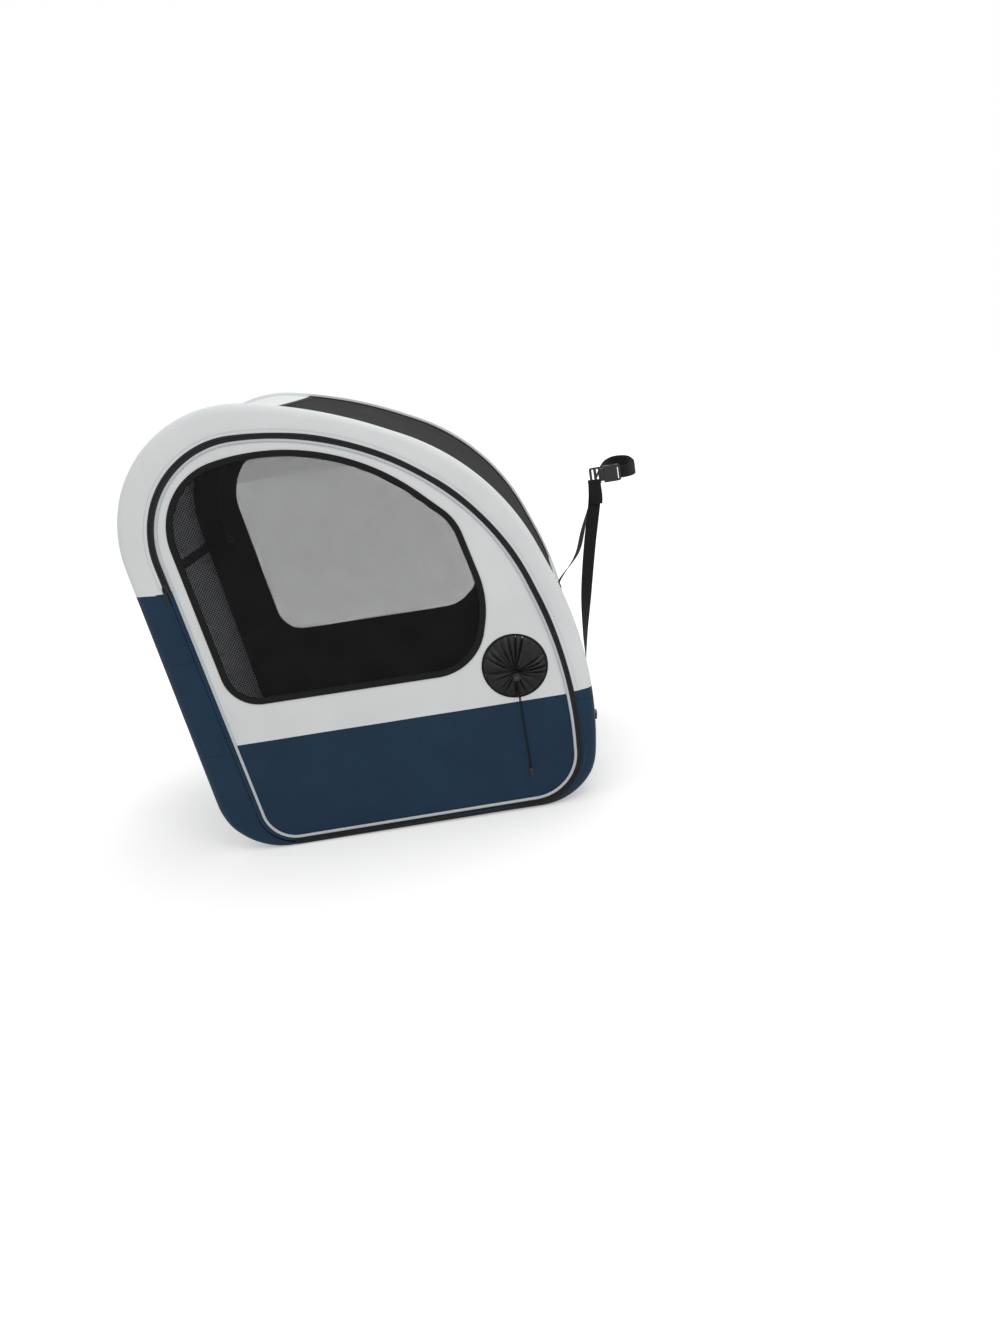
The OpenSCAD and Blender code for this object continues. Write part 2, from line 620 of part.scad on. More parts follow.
module prong() difference() {
    translate([0, 0, -prong_t / 2]) linear_extrude(prong_t) {
        translate([2.6, prong_y]) circle(2);
        box2(2.6, 14, prong_y - 1.6, prong_y + 1.6);
        box2(12.6, 24, prong_y - 1.6, buckle_w / 2 - 1);
    }
    translate([18, buckle_w / 2 + 3, -5]) cylinder(d = 10, h = 10);
}
module buckle_prong_top() color("#26262a") at_buckle() prong();
module buckle_prong_bottom() color("#26262a") at_buckle() mirror([0, 1, 0]) prong();

base_panel();
back_panel_lower();
back_panel_upper();
roof_rear_panel();
roof_mesh();
roof_binding();
front_panel_upper();
front_panel_lower();
near_rim_upper();
near_rim_lower();
far_rim_upper();
far_rim_lower();
near_hoop();
far_hoop();
cross_rods();
rod_connectors();
base_board();
floor_mat();
near_zip_outer();
far_zip_outer();
near_door_upper();
near_door_lower();
near_window_mesh();
near_window_binding();
near_piping();
near_zip_inner();
far_door_upper();
far_door_lower();
far_window_mesh();
far_window_binding();
far_piping();
far_zip_inner();
near_slider();
near_pull();
far_slider();
far_pull();
hand_hole_sleeve();
cord_lock();
cord_lock_button();
cord_lock_spring();
draw_cord();
cord_end();
strap_upper();
strap_lower();
strap_tail();
strap_anchors();
lower_loop();
buckle_housing();
buckle_frame();
buckle_prong_top();
buckle_prong_bottom();
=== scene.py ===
"""Soft-sided pet carrier with two zip doors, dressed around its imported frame.

Shapes are worked out in millimetres in the frame's own axes: X from the back wall to the front
wall, Y from the near side to the far side, Z up. Only `surface` turns them into metres.
An outline is a closed line in the XZ plane, listed by its corners and their radii.
"""
import json
import math

import bmesh
import bpy
import numpy as np
from mathutils import Matrix, Vector

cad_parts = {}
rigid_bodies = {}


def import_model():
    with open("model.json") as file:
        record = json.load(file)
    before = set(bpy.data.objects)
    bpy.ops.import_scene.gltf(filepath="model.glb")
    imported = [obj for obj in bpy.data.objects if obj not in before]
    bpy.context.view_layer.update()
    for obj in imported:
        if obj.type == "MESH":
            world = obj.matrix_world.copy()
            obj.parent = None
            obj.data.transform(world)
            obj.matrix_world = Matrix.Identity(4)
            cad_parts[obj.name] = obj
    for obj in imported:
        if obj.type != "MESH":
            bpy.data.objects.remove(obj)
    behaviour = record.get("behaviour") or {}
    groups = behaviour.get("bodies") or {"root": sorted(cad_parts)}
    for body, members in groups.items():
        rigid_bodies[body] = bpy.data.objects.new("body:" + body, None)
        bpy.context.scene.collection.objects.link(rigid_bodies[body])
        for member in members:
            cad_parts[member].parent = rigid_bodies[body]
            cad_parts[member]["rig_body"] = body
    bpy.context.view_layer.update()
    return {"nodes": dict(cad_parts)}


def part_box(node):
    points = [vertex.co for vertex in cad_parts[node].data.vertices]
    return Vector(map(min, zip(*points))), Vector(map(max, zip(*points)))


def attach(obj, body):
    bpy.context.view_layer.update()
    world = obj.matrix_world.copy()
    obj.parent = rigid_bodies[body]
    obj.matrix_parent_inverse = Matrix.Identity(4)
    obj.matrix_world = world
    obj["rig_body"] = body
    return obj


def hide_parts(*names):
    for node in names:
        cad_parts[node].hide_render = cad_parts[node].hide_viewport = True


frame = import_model()

MM = 0.001
TURN = 2 * math.pi
ALONG_Y = np.array([0.0, 1.0, 0.0])
OUT_NEAR = -ALONG_Y
SHARP_ANGLE = math.radians(45)
DOORS = ("near_door", "far_door")

# ---- Driving dimensions of the carrier, in millimetres ----

HALF_W = 285.0
BACK_REACH = 425.0
FRONT_REACH = 407.0
HEIGHT = 870.0
WRAP = 16.0
WALL = 4.0
BACK_SPLIT = 553.0
FRONT_SPLIT = 235.0
BASE_TOP = 42.0
ROOF_REAR = 317.0 - BACK_REACH
BACK_TOP_X = 95.0 - BACK_REACH
ROOF_END = 400.0
ROOF_BINDING = 12.0
DOOR_SPLIT = 230.0
DOOR_FACE = 0.5
ZIP_W = 6.0
ZIP_END = 552.0
ZIP_START_X = -230.0
PIPING_R = 2.9
PIPING_IN = 9.5
PIPING_IN_HINGE = 13.0
WINDOW_BINDING = 12.5
HOLE_X = FRONT_REACH - 142.0
HOLE_Z = 303.0
SLEEVE_R = 62.5


def back(d):
    return d - BACK_REACH


def front(d):
    return FRONT_REACH - d


def top(d):
    return HEIGHT - d


# ---- Outlines: rows of x, z and radius; base, lower front, upper front, slope, roof, back ----

OUTER = [(back(74), 0, 126), (front(30), 0, 118), (front(-17), 299, 741),
         (front(131), top(178), 442), (back(409), top(32), 924), (back(-46), top(-65), 236)]
OPENING = [(back(140), 10, 75), (front(46), 14, 102), (front(29), 285, 829),
           (front(129), top(281), 486), (back(446), top(58), 562), (back(22), top(51), 185)]
WINDOW = [(back(132), 306, 73), (front(212), 303, 107), (front(171), 445, 202),
          (front(207), top(266), 104), (back(416), top(58), 420), (back(67), top(112), 135)]
ARC_STEPS = 30
STRAIGHT_STEPS = (34, 5, 5, 4, 4, 26)


def unit(v):
    return v / np.linalg.norm(v, axis=-1, keepdims=True)


def show(name, data):
    """New object of some data, linked into the scene."""
    made = bpy.data.objects.new(name, data)
    bpy.context.scene.collection.objects.link(made)
    return made


def corner_data(line):
    """Half angle and tangent length of each corner, and the directions of its two edges."""
    line = np.array(line, float)
    p = line[:, :2]
    before = unit(np.roll(p, 1, 0) - p)
    after = unit(np.roll(p, -1, 0) - p)
    half = np.arccos((before * after).sum(1)) / 2
    return line, before, after, half, line[:, 2] / np.tan(half)


def trimmed(line):
    """Radii cut down where two rounded corners would need more than the edge between them."""
    line, _, _, _, tangent = corner_data(line)
    edge = np.linalg.norm(np.roll(line[:, :2], -1, 0) - line[:, :2], axis=1)
    room = edge / (tangent + np.roll(tangent, -1))
    line[:, 2] *= np.minimum(1, np.minimum(room, np.roll(room, 1)))
    return line


def inset(line, by, shrink=None):
    """Each edge moved in by its own distance `by`, the corners set where moved edges meet.

    The radii shrink by the largest of those distances, or by `shrink`."""
    line, _, after, _, _ = corner_data(line)
    by = np.ones(len(line)) * by
    inward = np.stack([-after[:, 1], after[:, 0]], 1)
    level = (inward * line[:, :2]).sum(1) + by
    a, b = np.roll(inward, 1, 0), inward
    da, db = np.roll(level, 1), level
    det = a[:, 0] * b[:, 1] - a[:, 1] * b[:, 0]
    corners = np.stack([da * b[:, 1] - db * a[:, 1], a[:, 0] * db - b[:, 0] * da], 1) / det[:, None]
    radii = np.maximum(line[:, 2] - (by.max() if shrink is None else shrink), 1)
    return trimmed(np.column_stack([corners, radii]))


class Loop:
    """A rounded outline as points and outward normals, corner by corner, in equal steps.

    Corner i is an arc of ARC_STEPS steps about its centre, followed by STRAIGHT_STEPS[i] steps
    along the edge to the next corner, so that two loops match point by point."""

    def __init__(self, line):
        line, before, after, half, _ = corner_data(trimmed(line))
        centre = line[:, :2] + unit(before + after) * (line[:, 2] / np.sin(half))[:, None]
        start = np.arctan2(before[:, 0], -before[:, 1])
        turn = math.pi - 2 * half
        points, normals = [], []
        for i in range(len(line)):
            a = start[i] + turn[i] * np.linspace(0, 1, ARC_STEPS + 1)
            n = np.stack([np.cos(a), np.sin(a)], 1)
            arc = centre[i] + line[i, 2] * n
            k = (i + 1) % len(line)
            goal = centre[k] + line[k, 2] * np.array([math.cos(start[k]), math.sin(start[k])])
            t = np.arange(1, STRAIGHT_STEPS[i])[:, None] / STRAIGHT_STEPS[i]
            points += [arc, arc[-1] + (goal - arc[-1]) * t]
            normals += [n, np.repeat(n[-1:], len(t), 0)]
        self.p = np.concatenate(points)
        self.n = np.concatenate(normals)
        self.count = len(self.p)

    def at(self, index):
        """Points and normals at fractional places, counted along the loop."""
        k = np.arange(self.count + 1)
        index = np.asarray(index) % self.count
        pick = [np.interp(index, k, np.append(c, c[0]))
                for c in (self.p[:, 0], self.p[:, 1], self.n[:, 0], self.n[:, 1])]
        return np.stack(pick[:2], -1), np.stack(pick[2:], -1)

    def crossing(self, axis, value, wanted):
        """Fractional place where coordinate `axis` passes `value`, on the side `wanted` accepts."""
        c = self.p[:, axis] - value
        nxt = np.roll(c, -1)
        hits = np.nonzero((c * nxt <= 0) & (c != nxt))[0]
        hit = [i for i in hits if wanted(self.p[i])][0]
        return hit + c[hit] / (c[hit] - nxt[hit])


def between(start, stop, count):
    """Whole places from start to stop, going round past the loop's end where stop is smaller."""
    stop = stop + count if stop < start else stop
    inner = np.arange(math.floor(start) + 1, math.ceil(stop))
    inner = inner[(inner > start + 0.05) & (inner < stop - 0.05)]
    return np.concatenate([[start], inner, [stop]])


def at_x(line, x, upper):
    return line.crossing(0, x, lambda p: (p[1] > HEIGHT / 2) == upper)


def at_z(line, z, rear):
    return line.crossing(1, z, lambda p: (p[0] < 0) == rear)


outer = Loop(OUTER)
opening = Loop(OPENING)
AT_BACK = at_z(outer, BACK_SPLIT, True)
AT_FRONT = at_z(outer, FRONT_SPLIT, False)
BACK_FOOT = at_z(outer, BASE_TOP, True)
FRONT_FOOT = at_z(outer, BASE_TOP, False)
AT_BACK_TOP = at_x(outer, BACK_TOP_X, True)
AT_ROOF_REAR = at_x(outer, ROOF_REAR, True)
AT_ROOF_END = at_z(outer, ROOF_END, False)
ZIP_LOW = at_z(opening, ZIP_END, True)
ZIP_START = at_x(opening, ZIP_START_X, False)
RIM_ROW = (at_z(opening, FRONT_SPLIT + 2, False), at_z(opening, BACK_SPLIT + 4, True))

# ---- Camera and light ----

CAMERA_AT = (0.2840, -2.3416, 0.8949)
CAMERA_LENS = 30.0
SENSOR_TALL = 36.0
# Where the carrier's width runs to in the view: right, down and ahead, and its tilt on the seat
WIDTH_RUNS = (-0.02188, -0.26956, 0.96273)
SEAT_TILT = math.radians(9.0)


def camera_axes():
    """Right, up and forward of the camera in the carrier's axes.

    The width direction in the view fixes Y; the carrier's X and Z lie across it, turned by the
    tilt of the seat from the view's own level."""
    width = unit(np.array(WIDTH_RUNS))
    rise = unit(np.cross((1, 0, 0), width))
    rise = -rise if rise[1] > 0 else rise
    along = np.cross(width, rise)
    along = -along if along[0] < 0 else along
    x = along * math.cos(SEAT_TILT) + rise * math.sin(SEAT_TILT)
    z = -along * math.sin(SEAT_TILT) + rise * math.cos(SEAT_TILT)
    return (x[0], width[0], z[0]), (-x[1], -width[1], -z[1]), (x[2], width[2], z[2])


def add_camera():
    right, up, ahead = camera_axes()
    data = bpy.data.cameras.new("camera")
    data.sensor_fit = "VERTICAL"
    data.sensor_height = SENSOR_TALL
    data.lens = CAMERA_LENS
    camera = show("camera", data)
    turn = Matrix((right, up, tuple(-a for a in ahead))).transposed().to_4x4()
    camera.matrix_world = Matrix.Translation(CAMERA_AT) @ turn
    bpy.context.scene.camera = camera


def add_lamp(name, place, aim, size, watts):
    data = bpy.data.lights.new(name, "AREA")
    data.shape = "DISK"
    data.size = size
    data.energy = watts
    lamp = show(name, data)
    away = Vector(aim) - Vector(place)
    lamp.location = place
    lamp.rotation_euler = away.to_track_quat("-Z", "Y").to_euler()


# ---- Node materials ----

def set_sockets(node, values):
    for socket, value in values.items():
        node.inputs[socket].default_value = value


class Nodes:
    """A node tree under construction; each method adds one node and returns its output."""

    def __init__(self, owner):
        owner.use_nodes = True
        self.tree = owner.node_tree

    def node(self, kind, **settings):
        n = self.tree.nodes.new(kind)
        for key, value in settings.items():
            setattr(n, key, value)
        return n

    def link(self, a, b):
        self.tree.links.new(a, b)

    def coords(self, source="Object", scale=(1, 1, 1)):
        tex = self.node("ShaderNodeTexCoord")
        mapping = self.node("ShaderNodeMapping")
        mapping.inputs["Scale"].default_value = scale
        self.link(tex.outputs[source], mapping.inputs["Vector"])
        return mapping.outputs["Vector"]

    def noise(self, vector, scale, detail=3.0, rough=0.5):
        n = self.node("ShaderNodeTexNoise")
        set_sockets(n, {"Scale": scale, "Detail": detail, "Roughness": rough})
        self.link(vector, n.inputs["Vector"])
        return n.outputs["Fac"]

    def math(self, op, *values):
        n = self.node("ShaderNodeMath", operation=op)
        for socket, value in zip(n.inputs, values):
            if isinstance(value, (int, float)):
                socket.default_value = value
            else:
                self.link(value, socket)
        return n.outputs[0]

    def add(self, a, b):
        return self.math("ADD", a, b)

    def times(self, a, b):
        return self.math("MULTIPLY", a, b)

    def split(self, vector):
        n = self.node("ShaderNodeSeparateXYZ")
        self.link(vector, n.inputs[0])
        return n.outputs[0], n.outputs[1], n.outputs[2]

    def uv(self):
        """Lengths run along the piece and across it."""
        return self.split(self.coords("UV"))[:2]

    def cloud(self, scale):
        return self.noise(self.coords("Object"), scale)

    def spread(self, value, low, high, start=0.0, stop=1.0, **settings):
        """Value from start to stop, taken to low to high."""
        n = self.node("ShaderNodeMapRange", **settings)
        set_sockets(n, {"From Min": start, "From Max": stop, "To Min": low, "To Max": high})
        self.link(value, n.inputs["Value"])
        return n.outputs[0]

    def wave(self, value, pitch):
        """Sine of `value`, a length in metres, with a pitch in millimetres."""
        return self.math("SINE", self.times(value, TURN / (pitch * MM)))


class Mat(Nodes):
    """A material under construction, whose shader takes what `tint` and `bump` make."""

    def __init__(self, name, rough, sheen=0.0, metal=0.0, specular=0.4):
        self.material = bpy.data.materials.new(name)
        super().__init__(self.material)
        self.shader = self.tree.nodes["Principled BSDF"]
        set_sockets(self.shader, {"Roughness": rough, "Sheen Weight": sheen, "Metallic": metal,
                                  "Specular IOR Level": specular})

    def tint(self, value, colour, low, high, a=0.0, b=1.0):
        """Base colour from `colour` times low to `colour` times high, as value goes from a to b."""
        n = self.node("ShaderNodeValToRGB")
        for stop, place, share in zip(n.color_ramp.elements, (a, b), (low, high)):
            stop.position = place
            stop.color = (*(min(1.0, c * share) for c in colour), 1)
        self.link(value, n.inputs[0])
        self.link(n.outputs[0], self.shader.inputs["Base Color"])

    def bump(self, height, distance, strength=1.0):
        n = self.node("ShaderNodeBump")
        set_sockets(n, {"Distance": distance * MM, "Strength": strength})
        self.link(height, n.inputs["Height"])
        self.link(n.outputs["Normal"], self.shader.inputs["Normal"])


SEAM_REACH = 2.0


def woven(name, colour, pitch=1.3, heather=0.10, rough=0.85, sheen=0.2, specular=0.2, source="UV",
          seams=()):
    """Plain-weave cloth: bumps where warp and weft cross, with faint painted shade between them,
    flecked and faintly clouded.

    Each height in `seams` is a level seam: a fold that sinks over SEAM_REACH, darkened there by
    painted shade."""
    m = Mat(name, rough=rough, sheen=sheen, specular=specular)
    a, b, c = m.split(m.coords(source))
    if source == "Object":
        a, b = m.add(a, b), m.add(c, b)
    weave = m.times(m.wave(a, pitch), m.wave(b, pitch))
    place = m.coords("Object")
    fleck = m.noise(place, 900.0, 2.0, 0.7)
    cloud = m.noise(place, 9.0, 3.0, 0.6)
    mix = m.add(m.times(fleck, 0.55), m.times(cloud, 0.45))
    # Painted shade: the colour darkens a little between the weave's raised crossings.
    mix = m.add(mix, m.times(weave, 0.05))
    puff = m.noise(place, 26.0, 3.0, 0.5)
    height = m.add(m.times(weave, 0.10), puff)
    for seam in seams:
        off = m.math("ABSOLUTE", m.math("SUBTRACT", m.split(place)[2], seam * MM))
        fold = m.math("MINIMUM", m.math("DIVIDE", off, SEAM_REACH * MM), 1.0)
        # Painted shade: the colour darkens towards each seam, in its fold.
        mix = m.add(mix, m.times(m.math("SUBTRACT", fold, 1.0), 0.9))
        height = m.add(height, m.times(fold, 1.5))
    m.tint(mix, colour, 1 - heather, 1 + heather, 0.3, 0.7)
    m.bump(height, 1.0, 0.55)
    return m.material


def net(name, colour, pitch=4.2, thread=0.45):
    """Knitted net: a lattice of threads on both diagonals, open between them.

    A thread lies where |sin(pi q / pitch)| is under `thread`, with q the distance along either
    diagonal of the UV."""
    m = Mat(name, rough=0.75, sheen=0.03, specular=0.12)
    a, b = m.uv()
    gaps = []
    for op in ("ADD", "SUBTRACT"):
        q = m.times(m.math(op, a, b), math.sqrt(0.5))
        gaps.append(m.math("ABSOLUTE", m.wave(q, 2 * pitch)))
    nearest = m.math("MINIMUM", *gaps)
    cloud = m.cloud(14.0)
    m.tint(cloud, colour, 0.8, 1.3, 0.3, 0.7)
    m.link(m.math("LESS_THAN", nearest, thread), m.shader.inputs["Alpha"])
    m.bump(m.times(nearest, -1.0), 0.4, 0.5)
    return m.material


def dense_mesh(name, colour, pitch=1.6):
    """Close mesh cloth: the same diagonal lattice, shut, with a pit in every cell and painted shade
    in each pit.
    """
    m = Mat(name, rough=0.8, sheen=0.02, specular=0.10)
    a, b = m.uv()
    pits = m.times(m.wave(m.add(a, b), 2 * pitch),
                   m.wave(m.math("SUBTRACT", a, b), 2 * pitch))
    cloud = m.cloud(18.0)
    # Painted shade: the colour darkens in the pits of the mesh.
    tint = m.add(m.times(pits, 0.16), cloud)
    m.tint(tint, colour, 0.55, 1.5, 0.3, 0.7)
    m.bump(m.add(m.times(pits, 0.3), cloud), 0.6, 0.6)
    return m.material


def ribbed(name, colour, pitch=1.2, rough=0.7, sheen=0.04, depth=0.35, cross=0.0):
    """Ribbed tape or webbing: ridges across its length, with fine threads along it and painted
    shade between the ridges.
    """
    m = Mat(name, rough=rough, sheen=sheen, specular=0.16)
    a, b = m.uv()
    ribs = m.wave(a, pitch)
    threads = m.wave(b, 1.6)
    height = m.add(m.times(ribs, 0.5), m.times(threads, 0.3 + cross))
    fleck = m.cloud(420.0)
    # Painted shade: the colour darkens in the grooves between the ribs.
    tint = m.add(m.times(fleck, 0.6), m.times(ribs, 0.12))
    m.tint(tint, colour, 0.65, 1.6, 0.1, 0.6)
    m.bump(height, depth, 0.8)
    return m.material


def coil(name, colour):
    """Nylon zip coil: fine turns across the length, glossier than the tape beside them; painted
    highlight on the turns, painted shade between.
    """
    m = Mat(name, rough=0.5, specular=0.45)
    a, b = m.uv()
    turns = m.wave(a, 1.9)
    fleck = m.cloud(500.0)
    # Painted light: the colour is lighter on the raised turns and darker between them.
    tint = m.add(m.times(turns, 0.25), fleck)
    m.tint(tint, colour, 0.5, 2.0, 0.2, 0.9)
    m.bump(turns, 0.6, 0.9)
    return m.material


def plastic(name, colour, rough=0.42):
    """Moulded plastic with a spark-eroded grain and faintly mottled gloss."""
    m = Mat(name, rough=rough, specular=0.5)
    place = m.coords("Object")
    grain = m.noise(place, 1600.0, 2.0)
    cloud = m.noise(place, 60.0, 2.0)
    m.tint(cloud, colour, 0.8, 1.25, 0.35, 0.65)
    m.link(m.spread(cloud, rough - 0.08, rough + 0.10), m.shader.inputs["Roughness"])
    m.bump(grain, 0.05, 0.6)
    return m.material


def metal(name, colour, rough=0.3, metallic=1.0):
    """Drawn or painted metal: scratches along its length and worn, brighter patches."""
    m = Mat(name, rough=rough, metal=metallic, specular=0.5)
    streak = m.noise(m.coords("Object", (3000, 3000, 60)), 1.0, 2.0)
    cloud = m.cloud(130.0)
    mix = m.add(m.times(streak, 0.5), m.times(cloud, 0.5))
    m.tint(mix, colour, 0.8, 1.3, 0.35, 0.7)
    m.bump(streak, 0.03, 0.4)
    return m.material


def satin(name, colour):
    """Thin satin lining cloth: low, glossy, with fine threads running out from the gather."""
    m = Mat(name, rough=0.36, sheen=0.03, specular=0.32)
    a, b = m.uv()
    threads = m.wave(a, 0.9)
    cloud = m.cloud(90.0)
    m.tint(cloud, colour, 0.7, 1.5, 0.35, 0.65)
    m.bump(m.add(m.times(threads, 0.1), cloud), 0.7, 0.5)
    return m.material


def braid(name, colour, pitch=1.6):
    """Braided cord: two sets of strands that cross round it, with painted shade where they dip."""
    m = Mat(name, rough=0.65, sheen=0.03, specular=0.15)
    a, b = m.uv()
    plait = m.times(m.wave(m.add(a, b), pitch), m.wave(m.math("SUBTRACT", a, b), pitch))
    # Painted shade: the colour darkens where the strands dip under each other.
    m.tint(m.add(m.times(plait, 0.3), 0.5), colour, 0.6, 1.7, 0.2, 0.8)
    m.bump(plait, 0.3, 0.8)
    return m.material


GREY = (0.74, 0.76, 0.76)
NAVY = (0.0100, 0.0325, 0.066)
BLACK = (0.010, 0.010, 0.011)
GREY_CLOTH = woven("grey_cloth", GREY, heather=0.05)
NAVY_CLOTH = woven("navy_cloth", NAVY, heather=0.22)
# The navy band's three seams carry painted shade in their folds.
NAVY_BAND = woven("navy_band_cloth", NAVY, heather=0.22, seams=(410, 215, 65))
LINING = woven("lining", (0.014, 0.0137, 0.0137), heather=0.3, sheen=0.03, specular=0.12)
PALE_LINING = woven("pale_lining", (0.60, 0.62, 0.66), heather=0.06)
HOOP_SLEEVE = woven("hoop_sleeve", (0.012, 0.012, 0.013), sheen=0.03, specular=0.1, source="Object")
NET = net("window_net", (0.015, 0.015, 0.016))
ROOF_NET = dense_mesh("roof_net", (0.0105, 0.0095, 0.0105))
BINDING = ribbed("binding", BLACK, pitch=1.1)
COIL = coil("zip_coil", (0.016, 0.016, 0.018))
PIPING = woven("piping_cloth", (0.56, 0.59, 0.61), pitch=0.7, heather=0.06, rough=0.5, sheen=0.4)
WEBBING = ribbed("webbing", (0.011, 0.011, 0.012), pitch=2.0, depth=0.5, cross=0.1)
PLASTIC = plastic("black_plastic", (0.014, 0.014, 0.015))
PRESS_PLASTIC = plastic("press_plastic", (0.03, 0.03, 0.032), rough=0.36)
ROD = plastic("rod_glass_fibre", (0.035, 0.035, 0.037), rough=0.5)
STEEL = metal("spring_steel", (0.5, 0.5, 0.52))
ZIP_METAL = metal("zip_metal", (0.03, 0.03, 0.032), rough=0.4, metallic=0.6)
SATIN = satin("satin", (0.006, 0.006, 0.007))
CORD = braid("draw_cord", (0.005, 0.005, 0.006))
THREAD_GREY = ribbed("thread_grey", (0.52, 0.55, 0.57), pitch=0.6)
THREAD_BLACK = ribbed("thread_black", (0.02, 0.02, 0.022), pitch=0.6)
BOARD = woven("board_cloth", (0.03, 0.031, 0.034), heather=0.2, source="Object")
MAT_CLOTH = woven("mat_cloth", (0.16, 0.175, 0.19), heather=0.12, source="Object")

# ---- Surfaces ----

def mirrored(xyz):
    return xyz * np.array([1, -1, 1])


def place_mesh(name, vertices, faces, material, uv, body="shell", slot=None, lined=None,
               replaces=None):
    """Piece on a body, from points in millimetres and the UV of each corner.

    `lined` is a second material and, for each face, whether it has that one."""
    mesh = bpy.data.meshes.new(name)
    mesh.from_pydata((np.asarray(vertices).reshape(-1, 3) * MM).tolist(), [], faces)
    layer = mesh.uv_layers.new(name="UVMap")
    layer.data.foreach_set("uv", np.ascontiguousarray(uv, np.float32).ravel() * MM)
    mesh.polygons.foreach_set("use_smooth", np.ones(len(mesh.polygons), bool))
    mesh.update()
    mesh.set_sharp_from_angle(angle=SHARP_ANGLE)
    mesh.materials.append(material)
    if lined:
        mesh.materials.append(lined[0])
        mesh.polygons.foreach_set("material_index", lined[1].astype(np.int32))
    piece = show(name, mesh)
    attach(piece, body)
    if replaces:
        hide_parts(replaces)
    return piece


def grid_quads(rows, cols, close_rows, close_cols, flip):
    """Quads of a grid, as corner numbers, and the same corners on a grid that doesn't wrap."""
    i = np.arange(rows if close_rows else rows - 1)[:, None]
    j = np.arange(cols if close_cols else cols - 1)[None, :]
    corners = [(i, j), (i, j + 1), (i + 1, j + 1), (i + 1, j)]
    if flip:
        corners = corners[::-1]
    faces = np.stack([(a % rows) * cols + b % cols for a, b in corners], -1).reshape(-1, 4)
    flat = np.stack([a * (cols + 1) + b for a, b in corners], -1).reshape(-1, 4)
    return faces, flat


def run_lengths(xyz, axis):
    """Distance along one direction of a grid, averaged over the other, with one closing step."""
    loop = np.concatenate([xyz, xyz.take([0], axis)], axis)
    step = np.linalg.norm(np.diff(loop, axis=axis), axis=2)
    return np.concatenate([[0], np.cumsum(step.mean(1 - axis))])


def volume(points, faces):
    """Signed volume inside closed quads: a sixth of the sum of their corners' triple products."""
    a, b, c, d = (points[faces[:, k]] for k in range(4))
    triple = (np.cross(b, c) * a).sum(1) + (np.cross(c, d) * a).sum(1)
    return triple.sum() / 6


def faces_inward(xyz, around):
    """Whether a grid's quads, taken in plain order, face into the volume that they hold."""
    quads, _ = grid_quads(*xyz.shape[:2], around, True, False)
    return volume((xyz - xyz.mean((0, 1))).reshape(-1, 3), quads) < 0


def surface(name, xyz, material, around=False, lined=None, **place):
    """Mesh of the grid xyz[i, j], closed over j, with UV as the lengths run along i and j.

    around closes the grid over i too, and otherwise both its ends are filled. Faces are turned
    outwards by the sign of the volume they hold. A lined piece has its second material on the
    second half of j, the inner skin."""
    rows, cols = xyz.shape[:2]
    flip = faces_inward(xyz, around)
    faces, flat = grid_quads(rows, cols, around, True, flip)
    u, v = np.meshgrid(run_lengths(xyz, 0), run_lengths(xyz, 1), indexing="ij")
    uv = np.stack([u.ravel(), v.ravel()], 1)[flat].reshape(-1, 2)
    inner = np.tile(np.arange(cols) >= cols // 2, len(faces) // cols)
    faces = faces.tolist()
    if not around:
        ends = [list(range(cols)), [(rows - 1) * cols + k for k in range(cols)][::-1]]
        ends = [e[::-1] for e in ends] if flip else ends
        faces += ends
        uv = np.concatenate([uv] + [np.zeros((cols, 2))] * 2)
        inner = np.append(inner, [False, False])
    return place_mesh(name, xyz, faces, material, uv, lined=lined and (lined, inner), **place)


def both_sides(name, xyz, material, bodies=("shell", "shell"), replaces=None, **place):
    """The near piece and its mirror image on the far side, each on its own body."""
    return [surface(f"{side}_{name}", grid, material, body=body,
                    replaces=replaces and f"{side}_{replaces}", **place)
            for side, body, grid in zip(("near", "far"), bodies, (xyz, mirrored(xyz)))]


def slack(p):
    """Small uneven rise of sewn cloth: three long waves that never line up."""
    x, y, z = p[..., 0], p[..., 1], p[..., 2]
    return (np.sin(x / 47 + z / 83 + 1.3) * np.sin(z / 61 - x / 113 + 0.4)
            + 0.6 * np.sin(x / 29 - z / 37 + y / 53 + 2.1)) / 1.6


def blend(a, b, t):
    """Grid of the points from a[i] to b[i] at each share t[j]."""
    return a[:, None] * (1 - t)[:, None] + b[:, None] * t[:, None]


def lay(flat, y):
    """Points x, z with a depth y, as x, y, z."""
    return np.stack([flat[..., 0], np.broadcast_to(y, flat.shape[:-1]), flat[..., 1]], -1)


# ---- Side panels: a padded band from the zip to the edge, rounded over onto the walls ----

RIM_STEPS = 14
ROUND_STEPS = 10
RIM_ROUND = 15.0
RIM_CROWN = 1.6
RIM_SLACK = 0.9
RIM_ROLL = 6.0
ROLL_SHIFT = 0.12
ROLL_FROM = 60.0


